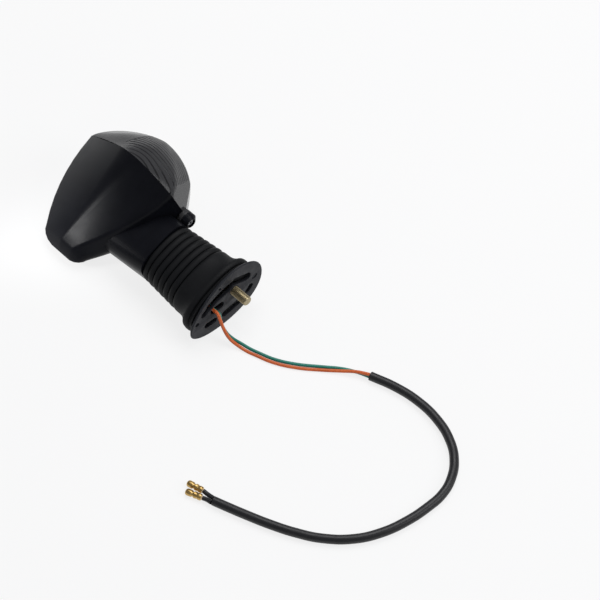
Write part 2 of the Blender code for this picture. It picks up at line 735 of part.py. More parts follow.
def make_lens_screw(material, head):
    face = BOSS_FRONT_X - LENS_SCREW_SINK
    under = face - LENS_SCREW_HEAD_HEIGHT
    chain = [
        (EAR_X + GAP, 0.0),
        (EAR_X + GAP, LENS_SCREW_RADIUS),
        (under, LENS_SCREW_RADIUS),
        (under, LENS_SCREW_HEAD_RADIUS),
        (face - 0.5 * MM, LENS_SCREW_HEAD_RADIUS),
        (face, LENS_SCREW_HEAD_RADIUS - 0.5 * MM),
        (face, 0.0),
    ]
    screw = add_object("lens_screw", turned("lens_screw", chain), material, head, (0.0, SCREW_Y, 0.0))
    half = LENS_SCREW_HEAD_RADIUS * 0.6
    slot_low = (face - 0.9 * MM, -0.45 * MM, -half)
    slot_high = (face + MM, 0.45 * MM, half)
    upright = add_object("drive_upright", box_mesh("drive_upright", slot_low, slot_high), None, head, (0.0, SCREW_Y, 0.0))
    level_low = (face - 0.9 * MM, -half, -0.45 * MM)
    level_high = (face + MM, half, 0.45 * MM)
    level = add_object("drive_level", box_mesh("drive_level", level_low, level_high), None, head, (0.0, SCREW_Y, 0.0))
    boolean(screw, upright, "DIFFERENCE")
    boolean(screw, level, "DIFFERENCE")


def make_gasket(material, head):
    low = -LENS_TONGUE - GAP - GASKET_HEIGHT
    high = -LENS_TONGUE - GAP
    out = seat_outline(-low, 0.0)
    into = seat_outline(-low, LENS_TONGUE_WIDTH)
    rings = [
        lens_ring(out, 1.0, 0.0, low),
        lens_ring(out, 1.0, 0.0, high),
        lens_ring(into, 1.0, 0.0, high),
        lens_ring(into, 1.0, 0.0, low),
    ]
    add_object("lens_gasket", loft("lens_gasket", rings, closed=True), material, head)


def dish_ring(y, inset):
    return [(POD_MID_X + ray.x * reach, y, ray.y * reach) for ray, reach in polar(pod_section(y, inset), LENS_POINTS)]


def make_reflector(material, head):
    top = -LENS_TONGUE - 2 * GAP - GASKET_HEIGHT
    drop = REFLECTOR_WALL - top
    edge = seat_outline(drop, 0.0)
    mouth = POD_WALL + GAP + LENS_TONGUE_WIDTH
    outer_mouth = seat_outline(drop, LENS_TONGUE_WIDTH)
    inner_mouth = seat_outline(drop, LENS_TONGUE_WIDTH + REFLECTOR_WALL)
    start_y = SEAM_Y - SEAM_BOW + top - 3 * REFLECTOR_WALL
    depths = [start_y + (REFLECTOR_FLOOR_Y - start_y) * step / 4 for step in range(5)]
    insets = [mouth + (REFLECTOR_FLOOR_INSET - mouth) * (step / 4) ** 2 for step in range(5)]
    rings = [dish_ring(y - REFLECTOR_WALL, inset) for y, inset in zip(depths, insets)][::-1]
    rings.append(lens_ring(outer_mouth, 1.0, 0.0, top - REFLECTOR_WALL))
    rings.append(lens_ring(edge, 1.0, 0.0, top - REFLECTOR_WALL))
    rings.append(lens_ring(edge, 1.0, 0.0, top))
    rings.append(lens_ring(inner_mouth, 1.0, 0.0, top))
    rings += [dish_ring(y, inset + REFLECTOR_WALL) for y, inset in zip(depths, insets)]
    reflector = add_object("reflector", loft("reflector", rings), material, head)
    hole_mesh = cylinder_along_x("holder_opening", GROMMET_RADIUS + GAP, GLASS_MID_X + GLASS_RADIUS, RIM_X)
    hole = add_object("holder_opening", hole_mesh, None, head, (0.0, BULB_Y, 0.0))
    boolean(reflector, hole, "DIFFERENCE")


def make_bulb_holder(steel, rubber, board, brass, head):
    axis = (0.0, BULB_Y, 0.0)
    bore = HOLDER_BORE
    front = HOLDER_X - HOLDER_LENGTH
    tube = [(front, bore), (front, HOLDER_RADIUS), (HOLDER_X, HOLDER_RADIUS), (HOLDER_X, bore)]
    holder = add_object("bulb_holder", turned("bulb_holder", tube, closed=True), steel, head, axis)
    slot_low = (front - MM, -HOLDER_SLOT_WIDTH / 2, -2 * HOLDER_RADIUS)
    slot_high = (front + HOLDER_SLOT_LENGTH, HOLDER_SLOT_WIDTH / 2, 2 * HOLDER_RADIUS)
    slot = add_object("pin_slots", box_mesh("pin_slots", slot_low, slot_high), None, head, axis)
    boolean(holder, slot, "DIFFERENCE")
    seat = HOLDER_X - HOLDER_LENGTH / 2
    ring = [
        (seat - GROMMET_LENGTH / 2, HOLDER_RADIUS + GAP),
        (seat - GROMMET_LENGTH / 2, GROMMET_RADIUS),
        (seat + GROMMET_LENGTH / 2, GROMMET_RADIUS),
        (seat + GROMMET_LENGTH / 2, HOLDER_RADIUS + GAP),
    ]
    add_object("holder_grommet", turned("holder_grommet", ring, closed=True), rubber, head, axis)
    plug = HOLDER_X - HOLDER_BASE_PLUG
    base = [
        (plug, 0.0),
        (plug, bore - GAP),
        (HOLDER_X + GAP, bore - GAP),
        (HOLDER_X + GAP, HOLDER_RADIUS),
        (HOLDER_X + GAP + HOLDER_BASE_HEIGHT, HOLDER_RADIUS),
        (HOLDER_X + GAP + HOLDER_BASE_HEIGHT, 0.0),
    ]
    add_object("holder_base", turned("holder_base", base), board, head, axis)
    under = BULB_Y - HOLDER_RADIUS - GAP
    tab_low = (HOLDER_X - TAB_LENGTH, under - TAB_THICKNESS, -TAB_WIDTH / 2)
    tab_high = (HOLDER_X, under, TAB_WIDTH / 2)
    add_object("ground_tab", box_mesh("ground_tab", tab_low, tab_high), brass, head)


def tube_curve(name, points, radius, resolution):
    curve = bpy.data.curves.new(name, "CURVE")
    curve.dimensions = "3D"
    curve.bevel_depth = radius
    curve.bevel_resolution = resolution
    curve.use_fill_caps = True
    spline = curve.splines.new("POLY")
    spline.points.add(len(points) - 1)
    for point, place in zip(spline.points, points):
        point.co = (*place, 1.0)
    return curve


def make_contact_spring(steel, head):
    start = HOLDER_X - HOLDER_BASE_PLUG - GAP - SPRING_WIRE_RADIUS
    count = SPRING_CURLS * SPRING_POINTS_A_CURL
    points = []
    for step in range(count + 1):
        turn = 2 * math.pi * step / SPRING_POINTS_A_CURL
        x = start - SPRING_SPAN * step / count
        points.append(Vector((x, SPRING_RADIUS * math.cos(turn), SPRING_RADIUS * math.sin(turn))))
    least = min(
        (points[late] - points[early]).length
        for early in range(count)
        for late in range(early + SPRING_POINTS_A_CURL // 2, count + 1)
    )
    print(f"contact_spring: least gap to itself {(least - 2 * SPRING_WIRE_RADIUS) / MM:.2f} mm")
    curve = tube_curve("contact_spring", points, SPRING_WIRE_RADIUS, 1)
    add_object("contact_spring", curve, steel, head, (0.0, BULB_Y, 0.0))


def make_plunger(board, carrier):
    back = PLUNGER_X - PLUNGER_HEIGHT
    chain = [(back, 0.0), (back, PLUNGER_RADIUS), (PLUNGER_X, PLUNGER_RADIUS), (PLUNGER_X, 0.0)]
    add_object("contact_plunger", turned("contact_plunger", chain), board, carrier, (0.0, BULB_Y, 0.0))


def make_bulb(brass, glass, tungsten, solder, carrier):
    axis = (0.0, BULB_Y, 0.0)
    bore = CAP_RADIUS - CAP_WALL
    front = CAP_X - CAP_LENGTH
    cup = [
        (front, bore),
        (front, CAP_RADIUS),
        (CAP_X, CAP_RADIUS),
        (CAP_X, CONTACT_RADIUS + GAP),
        (CAP_X - CAP_WALL, CONTACT_RADIUS + GAP),
        (CAP_X - CAP_WALL, bore),
    ]
    cap = add_object("bulb_cap", turned("bulb_cap", cup, closed=True), brass, carrier, axis)
    for side in (1, -1):
        work = bmesh.new()
        bmesh.ops.create_cone(
            work, cap_ends=True, segments=10, radius1=PIN_RADIUS, radius2=PIN_RADIUS, depth=PIN_REACH - bore - GAP
        )
        middle = side * (PIN_REACH + bore + GAP) / 2
        bmesh.ops.translate(work, verts=work.verts, vec=(CAP_X - PIN_SETBACK, 0.0, middle))
        pin = add_object(f"pin_blank_{side}", mesh_of("pin_blank", work), None, carrier, axis)
        boolean(cap, pin, "UNION")
    tip = [(CAP_X - CAP_WALL, 0.0), (CAP_X - CAP_WALL, CONTACT_RADIUS), (CONTACT_X, CONTACT_RADIUS), (CONTACT_X, 0.0)]
    add_object("bulb_contact", turned("bulb_contact", tip), solder, carrier, axis)
    neck = bore - GAP
    inner = GLASS_RADIUS - GLASS_WALL
    outer_chain = globe_chain(GLASS_RADIUS, neck)
    inner_chain = globe_chain(inner, neck - GLASS_WALL)
    chain = outer_chain + [(GLASS_X, neck), (GLASS_X, neck - GLASS_WALL)] + inner_chain[::-1]
    add_object("bulb_glass", turned("bulb_glass", chain), glass, carrier, axis)
    disc = neck - GLASS_WALL - GAP
    stem = [
        (GLASS_X, 0.0),
        (GLASS_X, disc),
        (GLASS_X - STEM_DISC, disc),
        (GLASS_X - STEM_DISC, STEM_RADIUS),
        (GLASS_X - STEM_LENGTH, STEM_RADIUS),
        (GLASS_X - STEM_LENGTH, 0.0),
    ]
    add_object("bulb_stem", turned("bulb_stem", stem[::-1]), glass, carrier, axis)
    foot = GLASS_X - STEM_LENGTH - GAP
    spread = FILAMENT_HALF_SPAN
    route = [
        (foot, 0.0, -0.8 * MM),
        (foot - FILAMENT_HEIGHT * 0.5, 0.0, -spread),
        (foot - FILAMENT_HEIGHT * 0.9, 0.0, -spread),
        (foot - FILAMENT_HEIGHT, 0.0, -spread * 0.7),
        (foot - FILAMENT_HEIGHT, 0.0, spread * 0.7),
        (foot - FILAMENT_HEIGHT * 0.9, 0.0, spread),
        (foot - FILAMENT_HEIGHT * 0.5, 0.0, spread),
        (foot, 0.0, 0.8 * MM),
    ]
    add_object("bulb_filament", tube_curve("bulb_filament", route, FILAMENT_RADIUS, 1), tungsten, carrier, axis)


def globe_chain(radius, neck, steps=9):
    """(x, radius) points from the far pole of the bulb's globe to its neck."""
    chain = []
    last = math.pi - math.asin(neck / radius)
    for step in range(steps + 1):
        turn = last * step / steps
        chain.append((GLASS_MID_X - radius * math.cos(turn), radius * math.sin(turn)))
    chain[0] = (GLASS_MID_X - radius, 0.0)
    return chain


def make_boot(material, carrier):
    foot = BOOT_FOOT_X
    groove_y = FLANGE_HALF_Y - GROOVE_DEPTH
    groove_z = FLANGE_HALF_Z - GROOVE_DEPTH
    flange = foot - GROOVE_LENGTH
    outside = [
        (foot, groove_y, groove_z),
        (flange, groove_y, groove_z),
        (flange - FLANGE_ROUND / 4, FLANGE_HALF_Y - FLANGE_ROUND / 2, FLANGE_HALF_Z - FLANGE_ROUND / 2),
        (flange - FLANGE_ROUND, FLANGE_HALF_Y, FLANGE_HALF_Z),
        (FLARE_X + FLANGE_ROUND, FLANGE_HALF_Y, FLANGE_HALF_Z),
        (FLARE_X + FLANGE_ROUND / 4, FLANGE_HALF_Y - FLANGE_ROUND / 2, FLANGE_HALF_Z - FLANGE_ROUND / 2),
    ]
    for step in range(FLARE_STEPS + 1):
        share = (step / FLARE_STEPS) ** 1.5
        swell = (1 - share) ** FLARE_CURVE
        swell_y, swell_z = FLARE_GROWTH_Y * swell, FLARE_GROWTH_Z * swell
        outside.append((FLARE_X - FLARE_LENGTH * share, RIB_HALF_Y + swell_y, RIB_HALF_Z + swell_z))
    for rib in range(RIB_COUNT):
        start = RIBS_X - rib * RIB_PITCH
        narrow = (rib + 1) / RIB_COUNT
        crest_y = RIB_HALF_Y - RIB_TAPER_Y * narrow
        crest_z = RIB_HALF_Z - RIB_TAPER_Z * narrow
        for part, depth in RIB_SHAPE:
            outside.append((start - part * RIB_PITCH, crest_y - depth * RIB_DEPTH, crest_z - depth * RIB_DEPTH))
    outside.append((BOOT_HEAD_X, crest_y - RIB_DEPTH / 2, crest_z - RIB_DEPTH / 2))
    outside.append((BOOT_HEAD_X, SPIGOT_HALF_Y, SPIGOT_HALF_Z))
    spigot_end = BOOT_HEAD_X - SPIGOT_LENGTH
    outside.append((spigot_end, SPIGOT_HALF_Y, SPIGOT_HALF_Z))
    pocket_end = foot - FOOT_LIP - FOOT_POCKET_DEPTH
    inside = [
        (spigot_end, SPIGOT_BORE_Y, SPIGOT_BORE_Z),
        (BOOT_HEAD_X, SPIGOT_BORE_Y, SPIGOT_BORE_Z),
        (BOOT_HEAD_X + RIB_PITCH, RIB_BORE_Y, RIB_BORE_Z),
        (RIBS_X, RIB_BORE_Y, RIB_BORE_Z),
        (pocket_end, POCKET_HALF_Y - BOOT_WALL, POCKET_HALF_Z - BOOT_WALL),
        (pocket_end + BOOT_WALL, POCKET_HALF_Y, POCKET_HALF_Z),
        (foot - FOOT_LIP, POCKET_HALF_Y, POCKET_HALF_Z),
        (foot - FOOT_LIP, FOOT_OPENING_HALF_Y, FOOT_OPENING_HALF_Z),
        (foot, FOOT_OPENING_HALF_Y, FOOT_OPENING_HALF_Z),
    ]
    rings = [oval(*size) for size in outside + inside]
    boot = add_object("rubber_boot", loft("rubber_boot", rings, closed=True), material, carrier)
    for name, y, z in BASE_SCREWS:
        hole_mesh = cylinder_along_x(f"{name}_way", BASE_SCREW_RADIUS + GAP, foot - 2 * FOOT_LIP, foot + MM, 12)
        boolean(boot, add_object(f"{name}_way", hole_mesh, None, carrier, (0.0, y, z)), "DIFFERENCE")


def make_retainer(material, head):
    start = BOOT_HEAD_X - SPIGOT_LENGTH
    out_y, out_z = SPIGOT_BORE_Y - GAP, SPIGOT_BORE_Z - GAP
    in_y, in_z = out_y - RETAINER_WALL, out_z - RETAINER_WALL
    end = start + RETAINER_LENGTH
    rings = [oval(start, in_y, in_z), oval(start, out_y, out_z), oval(end, out_y, out_z), oval(end, in_y, in_z)]
    add_object("boot_retainer", loft("boot_retainer", rings, closed=True), material, head)


def make_plate(material, base):
    depths = (
        (-PLATE_THICKNESS, PLATE_BACK_CHAMFER),
        (PLATE_BACK_CHAMFER - PLATE_THICKNESS, 0.0),
        (-PLATE_CHAMFER, 0.0),
        (0.0, PLATE_CHAMFER),
    )
    rings = [[(x, y, z) for y, z in plate_outline(inset)] for x, inset in depths]
    plate = add_object("mounting_plate", loft("mounting_plate", rings), material, base)
    for number, slot in enumerate(PLATE_SLOTS + (WIRE_SLOT,)):
        cutter = loft(f"plate_slot_{number}", capsule_rings(slot, -2 * PLATE_THICKNESS, PLATE_THICKNESS))
        boolean(plate, add_object(f"plate_slot_{number}", cutter, None, base), "DIFFERENCE")
    for number, (y, z, radius, depth) in enumerate(PLATE_MARKS):
        mark_mesh = cylinder_along_x(f"plate_mark_{number}", radius, -depth, PLATE_THICKNESS, 14)
        boolean(plate, add_object(f"plate_mark_{number}", mark_mesh, None, base, (0.0, y, z)), "DIFFERENCE")
    stud_mesh = cylinder_along_x("stud_hole", STUD_RADIUS + GAP, -2 * PLATE_THICKNESS, PLATE_THICKNESS)
    boolean(plate, add_object("stud_hole", stud_mesh, None, base, (0.0, STUD_Y, STUD_Z)), "DIFFERENCE")
    for name, y, z in BASE_SCREWS:
        hole_mesh = cylinder_along_x(
            f"{name}_seat", BASE_SCREW_RADIUS + GAP, -2 * PLATE_THICKNESS, GAP - BASE_SCREW_TIP_SKIN, 12
        )
        boolean(plate, add_object(f"{name}_seat", hole_mesh, None, base, (0.0, y, z)), "DIFFERENCE")


def make_backing(steel, zinc, base):
    half_y, half_z = POCKET_HALF_Y - GAP, POCKET_HALF_Z - GAP
    rings = [oval(x, half_y, half_z) for x in (BACKING_BACK_X, BACKING_X)]
    backing = add_object("backing_plate", loft("backing_plate", rings), steel, base)
    stud_mesh = cylinder_along_x("backing_stud_hole", STUD_RADIUS + GAP, BACKING_BACK_X - MM, BACKING_X + MM)
    boolean(backing, add_object("backing_stud_hole", stud_mesh, None, base, (0.0, STUD_Y, STUD_Z)), "DIFFERENCE")
    way = loft("backing_wire_way", capsule_rings(WIRE_SLOT, BACKING_BACK_X - MM, BACKING_X + MM))
    boolean(backing, add_object("backing_wire_way", way, None, base), "DIFFERENCE")
    for name, y, z in BASE_SCREWS:
        hole_mesh = cylinder_along_x(
            f"{name}_pass", BASE_SCREW_RADIUS + GAP, BACKING_BACK_X - MM, BACKING_X + MM, 12
        )
        boolean(backing, add_object(f"{name}_pass", hole_mesh, None, base, (0.0, y, z)), "DIFFERENCE")
        under = BACKING_BACK_X - GAP
        top = under - BASE_SCREW_HEAD_HEIGHT
        chain = [
            (top, 0.0),
            (top, BASE_SCREW_HEAD_RADIUS),
            (under, BASE_SCREW_HEAD_RADIUS),
            (under, BASE_SCREW_RADIUS),
            (-BASE_SCREW_TIP_SKIN, BASE_SCREW_RADIUS),
            (-BASE_SCREW_TIP_SKIN, 0.0),
        ]
        add_object(name, turned(name, chain, steps=12), steel, base, (0.0, y, z))
    head_under = BACKING_BACK_X - GAP
    head_top = head_under - STUD_HEAD_HEIGHT
    head_mesh = cylinder_along_x("stud_head", STUD_HEAD_RADIUS, head_top, head_under, 6)
    stud_head = add_object("stud_head", head_mesh, None, base, (0.0, STUD_Y, STUD_Z))
    shank = [
        (head_under - STUD_HEAD_HEIGHT / 2, 0.0),
        (head_under - STUD_HEAD_HEIGHT / 2, STUD_RADIUS),
        (STUD_REACH - STUD_CHAMFER, STUD_RADIUS),
        (STUD_REACH, STUD_RADIUS - STUD_CHAMFER),
        (STUD_REACH, 0.0),
    ]
    stud = add_object("mounting_stud", turned("mounting_stud", shank), zinc, base, (0.0, STUD_Y, STUD_Z))
    boolean(stud, stud_head, "UNION")


def smooth_route(points, step):
    """Even points on a smooth curve through the given ones."""
    places = [Vector(p) for p in points]
    places = [2 * places[0] - places[1]] + places + [2 * places[-1] - places[-2]]
    dense = []
    for before, start, end, after in zip(places, places[1:], places[2:], places[3:]):
        for part in range(24):
            t = part / 24
            bend = (2 * before - 5 * start + 4 * end - after) * t**2
            twist = (3 * start - before - 3 * end + after) * t**3
            dense.append(0.5 * (2 * start + (end - before) * t + bend + twist))
    dense.append(places[-2])
    lengths = [0.0]
    for first, second in zip(dense, dense[1:]):
        lengths.append(lengths[-1] + (second - first).length)
    count = max(2, round(lengths[-1] / step))
    even = []
    index = 0
    for number in range(count + 1):
        wanted = lengths[-1] * number / count
        while index < len(dense) - 2 and lengths[index + 1] < wanted:
            index += 1
        span = lengths[index + 1] - lengths[index]
        even.append(dense[index].lerp(dense[index + 1], (wanted - lengths[index]) / span))
    return even, lengths[-1]


def on_table(point):
    """A route point in metres, from millimetres and a height above the table."""
    return (point[0] * MM, point[1] * MM, point[2] * MM - REST)


def rolled(x, y, z):
    """World place of a point in the stem's frame."""
    return (x, y * math.cos(ROLL) - z * math.sin(ROLL), height_above_table(y, z))


def make_cord(name, points, radius, material, carrier=None):
    route, length = smooth_route(points, POINT_STEP * 2 * radius)
    print(f"{name}: {length / MM:.1f} mm long")
    return add_object(name, tube_curve(name, route, radius, 2), material, carrier)


def make_wires(orange, green):
    loom_in = Vector(LOOM_ROUTE[0])
    along = (Vector(LOOM_ROUTE[1]) - loom_in).normalized()
    back = along * (GAP / MM)
    for name, exit_point, route, lift, material in (
        ("orange_wire", ORANGE_EXIT, ORANGE_ROUTE, PAIR_LIFT, orange),
        ("green_wire", GREEN_EXIT, GREEN_ROUTE, -PAIR_LIFT, green),
    ):
        start = [rolled(GAP, *exit_point), rolled(GAP + 3 * WIRE_RADIUS, *exit_point)]
        end = loom_in - back + Vector((0.0, 0.0, lift))
        points = start + [on_table(p) for p in route] + [on_table(end)]
        make_cord(name, points, WIRE_RADIUS, material)


def make_lead_ends(sleeve, brass):
    make_cord("loom_sleeve", [on_table(p) for p in LOOM_ROUTE], LOOM_RADIUS, sleeve)
    loom_out = Vector(LOOM_ROUTE[-1])
    along = (loom_out - Vector(LOOM_ROUTE[-2])).normalized()
    across = Vector((-along.y, along.x, 0.0))
    for name, route, tip, spread in (
        ("orange", ORANGE_TAIL_ROUTE, ORANGE_BULLET_TIP, -TAIL_SPREAD),
        ("green", GREEN_TAIL_ROUTE, GREEN_BULLET_TIP, TAIL_SPREAD),
    ):
        start = loom_out + along * (2 * GAP / MM) + across * spread
        points = [on_table(start)] + [on_table(p) for p in route]
        make_cord(f"{name}_tail", points, TAIL_RADIUS, sleeve)
        make_bullet(f"{name}_bullet", Vector(on_table(route[-1])), Vector(on_table(tip)), brass)


def make_bullet(name, start, tip, brass):
    along = (tip - start).normalized()
    long = (tip - start).length - GAP
    groove = long * 0.55
    chain = [
        (2 * GAP, 0.0),
        (2 * GAP, BULLET_RADIUS * 0.8),
        (2 * GAP + 0.6 * MM, BULLET_RADIUS),
        (groove - 0.9 * MM, BULLET_RADIUS),
        (groove - 0.3 * MM, BULLET_NECK_RADIUS),
        (groove + 0.3 * MM, BULLET_NECK_RADIUS),
        (groove + 0.9 * MM, BULLET_RADIUS),
        (long - 1.2 * MM, BULLET_RADIUS),
        (long - 0.3 * MM, BULLET_RADIUS * 0.72),
        (long, BULLET_RADIUS * 0.4),
        (long, 0.0),
    ]
    bullet = add_object(name, turned(name, chain, steps=14), brass)
    bullet.location = start
    bullet.rotation_mode = "QUATERNION"
    bullet.rotation_quaternion = along.to_track_quat("X", "Z")


def make_inside_leads(orange, green, carrier):
    base_back = HOLDER_X + GAP + HOLDER_BASE_HEIGHT
    tab_under = BULB_Y - HOLDER_RADIUS - 2 * GAP - TAB_THICKNESS - WIRE_RADIUS
    orange_points = [
        (-GAP, *ORANGE_EXIT),
        (BACKING_BACK_X - 2 * MM, *ORANGE_EXIT),
        (RIBS_X, -5.0 * MM, 2.5 * MM),
        (BOOT_HEAD_X, 1.0 * MM, 1.0 * MM),
        (base_back + 4 * MM, BULB_Y, 0.0),
        (base_back + GAP, BULB_Y, 0.0),
    ]
    green_points = [
        (-GAP, *GREEN_EXIT),
        (BACKING_BACK_X - 2 * MM, *GREEN_EXIT),
        (RIBS_X, -7.0 * MM, -2.0 * MM),
        (BOOT_HEAD_X, -8.0 * MM, -2.5 * MM),
        (base_back, tab_under, 0.0),
        (HOLDER_X - TAB_LENGTH / 2, tab_under, 0.0),
    ]
    make_cord("orange_lead_inside", orange_points, WIRE_RADIUS, orange, carrier)
    make_cord("green_lead_inside", green_points, WIRE_RADIUS, green, carrier)


def main():
    clear_scene()
    abs_black = finish("black_abs", "1d1e22", 0.55)
    lens_smoke = finish("smoked_acrylic", "4a4a4a", 0.15, alpha=0.6)
    rubber = finish("black_rubber", "1a1b1e", 0.7)
    plate_black = finish("plate_nylon", "2b2c30", 0.6)
    zinc = finish("yellow_zinc", "8a7a55", 0.35, 1.0)
    steel = finish("plated_steel", "a8a9ab", 0.3, 1.0)
    silver = finish("silvered_plastic", "d0d2d4", 0.12, 1.0)
    brass = finish("brass", "c9a86a", 0.3, 1.0)
    glass = finish("clear_glass", "f2f4f5", 0.02, alpha=0.25)
    tungsten = finish("tungsten", "6b6b70", 0.4, 1.0)
    solder = finish("solder", "b4b6b8", 0.35, 1.0)
    board = finish("brown_fibre", "6a4a32", 0.7)
    orange = finish("orange_pvc", "d4622f", 0.4)
    green = finish("green_pvc", "1f7a66", 0.4)
    sleeve = finish("black_pvc", "222224", 0.4)

    base = pivot("stem_axis", (0.0, 0.0, 0.0))
    base.rotation_euler = (ROLL, 0.0, 0.0)
    stalk = pivot("sway_axis", (SWAY_X, 0.0, 0.0), base)
    head = pivot("dip_axis", (DIP_X - SWAY_X, 0.0, 0.0), stalk)
    bulb = pivot("bulb_axis", (CAP_X - DIP_X, BULB_Y, 0.0), head)
    plunger = pivot("plunger_axis", (PLUNGER_X - DIP_X, BULB_Y, 0.0), head)

    make_plate(plate_black, base)
    make_backing(steel, zinc, base)
    make_boot(rubber, stalk)
    make_inside_leads(orange, green, stalk)
    make_retainer(steel, head)
    make_housing(abs_black, head)
    make_lens(lens_smoke, head)
    make_lens_screw(steel, head)
    make_gasket(rubber, head)
    make_reflector(silver, head)
    make_bulb_holder(steel, rubber, board, brass, head)
    make_contact_spring(steel, head)
    make_plunger(board, plunger)
    make_bulb(brass, glass, tungsten, solder, bulb)
    make_wires(orange, green)
    make_lead_ends(sleeve, brass)
    print(f"axis above the table: {REST / MM:.2f} mm")


main()
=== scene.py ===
"""Looks of a stalk-mounted turn signal indicator that lies on a white table with its lead.

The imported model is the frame, in metres. Most pieces are shaped in the stem's own frame, which is rolled about X
because the pod lies on the flat underside of its housing, and are turned into place once they are finished.
"""

import math

import bpy
from mathutils import Matrix, Vector


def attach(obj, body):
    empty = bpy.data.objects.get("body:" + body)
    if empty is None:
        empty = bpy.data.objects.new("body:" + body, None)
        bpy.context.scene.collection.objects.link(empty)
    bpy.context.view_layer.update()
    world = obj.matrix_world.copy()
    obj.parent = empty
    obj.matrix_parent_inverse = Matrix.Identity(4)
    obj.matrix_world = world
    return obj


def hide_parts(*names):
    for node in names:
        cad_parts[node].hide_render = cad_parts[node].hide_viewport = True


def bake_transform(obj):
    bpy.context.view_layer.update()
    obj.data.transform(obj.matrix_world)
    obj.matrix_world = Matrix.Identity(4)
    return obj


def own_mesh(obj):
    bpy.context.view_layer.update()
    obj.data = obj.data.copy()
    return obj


MM = 0.001
ROLL = math.radians(20.0)
TABLE = -19.24 * MM

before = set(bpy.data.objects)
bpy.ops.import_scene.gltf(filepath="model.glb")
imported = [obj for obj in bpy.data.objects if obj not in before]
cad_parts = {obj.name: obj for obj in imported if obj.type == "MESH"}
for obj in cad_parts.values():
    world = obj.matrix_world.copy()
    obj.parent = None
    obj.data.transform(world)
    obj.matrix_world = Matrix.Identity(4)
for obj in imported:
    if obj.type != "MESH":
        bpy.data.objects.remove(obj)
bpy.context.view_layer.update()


# Hand tools


def pick(*objects):
    """Object mode, with only these selected and the first one active."""
    if bpy.context.mode != "OBJECT":
        bpy.ops.object.mode_set(mode="OBJECT")
    bpy.ops.object.select_all(action="DESELECT")
    for obj in objects:
        obj.select_set(True)
    if objects:
        bpy.context.view_layer.objects.active = objects[0]


def named(name):
    obj = bpy.context.active_object
    obj.name = obj.data.name = name
    return obj


def everything(obj):
    """Edit mode, with the whole mesh selected."""
    pick(obj)
    bpy.ops.object.mode_set(mode="EDIT")
    bpy.ops.mesh.select_all(action="SELECT")


def applied(obj, kind, **settings):
    """Adds a modifier with its settings and applies it."""
    pick(obj)
    modifier = obj.modifiers.new(kind.lower(), kind)
    for key, value in settings.items():
        setattr(modifier, key, value)
    bpy.ops.object.modifier_apply(modifier=modifier.name)


def tidy(obj, angle=35.0):
    """Merged, facing outwards, and smooth but for its sharp edges."""
    everything(obj)
    bpy.ops.mesh.remove_doubles(threshold=0.002 * MM)
    bpy.ops.mesh.normals_make_consistent(inside=False)
    pick(obj)
    bpy.ops.object.shade_smooth_by_angle(angle=math.radians(angle))
    return obj


def placed(obj, matrix=None):
    """Turns a finished piece from the stem's frame, or by a matrix of its own, and applies that to its mesh."""
    pick(obj)
    obj.matrix_world = matrix or Matrix.Rotation(ROLL, 4, "X")
    bpy.ops.object.transform_apply(location=True, rotation=True, scale=True)
    return obj


def turned(name, chain, steps=48):
    """A chain of (x, radius) points in mm, drawn by extruding one point, then spun about X as on a lathe."""
    pick()
    bpy.ops.mesh.primitive_plane_add(size=MM)
    obj = named(name)
    bpy.ops.object.mode_set(mode="EDIT")
    bpy.ops.mesh.select_mode(type="VERT")
    bpy.ops.mesh.select_all(action="SELECT")
    bpy.ops.mesh.merge(type="CENTER")
    here = Vector((0.0, 0.0, 0.0))
    for number, (x, radius) in enumerate(chain):
        step = Vector((x, radius, 0.0)) * MM - here
        if number:
            bpy.ops.mesh.extrude_vertices_move(TRANSFORM_OT_translate={"value": step})
        else:
            bpy.ops.transform.translate(value=step)
        here += step
    bpy.ops.mesh.select_all(action="SELECT")
    bpy.ops.mesh.spin(steps=steps, angle=2 * math.pi, center=(0, 0, 0), axis=(1, 0, 0))
    return tidy(obj)


def draped(name, rows, columns, place):
    """A grid whose points are laid where a rule puts each (row, column), in mm."""
    pick()
    bpy.ops.mesh.primitive_grid_add(x_subdivisions=columns, y_subdivisions=rows, size=2.0)
    obj = named(name)
    for vertex in obj.data.vertices:
        column = round((vertex.co.x + 1) / 2 * columns)
        row = round((vertex.co.y + 1) / 2 * rows)
        vertex.co = Vector(place(row, column)) * MM
    return obj


def moved(obj, step):
    """Moves a mesh by a step in mm."""
    everything(obj)
    bpy.ops.transform.translate(value=Vector(step) * MM)
    pick(obj)
    return obj


def block(name, low, high):
    """A cube drawn out to two corners, in mm."""
    pick()
    middle = (Vector(low) + Vector(high)) / 2 * MM
    bpy.ops.mesh.primitive_cube_add(size=1.0, location=middle)
    obj = named(name)
    obj.scale = (Vector(high) - Vector(low)) * MM
    bpy.ops.object.transform_apply(location=True, rotation=True, scale=True)
    return obj


def joined(target, other, operation="UNION"):
    applied(target, "BOOLEAN", operation=operation, object=other, solver="EXACT")
    bpy.data.objects.remove(other)


def copy_of(node, name):
    """A CAD node's mesh as a new piece, merged, for a finer finish in the same shape."""
    obj = bpy.data.objects.new(name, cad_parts[node].data.copy())
    bpy.context.scene.collection.objects.link(obj)
    obj.data.name = name
    pick(obj)
    bpy.ops.mesh.customdata_custom_splitnormals_clear()
    everything(obj)
    bpy.ops.mesh.remove_doubles(threshold=0.002 * MM)
    pick(obj)
    return obj


def cord_line(name, points, radius, around=6, along=10):
    """A round cord along one smooth open line."""
    pick()
    bpy.ops.curve.primitive_bezier_curve_add()
    obj = named(name)
    curve = obj.data
    curve.splines.clear()
    line = curve.splines.new("BEZIER")
    line.bezier_points.add(len(points) - 1)
    for knot, place in zip(line.bezier_points, points):
        knot.co = place
        knot.handle_left_type = knot.handle_right_type = "AUTO"
    curve.dimensions = "3D"
    curve.resolution_u = along
    curve.bevel_depth = radius
    curve.bevel_resolution = around
    curve.use_fill_caps = True
    return obj


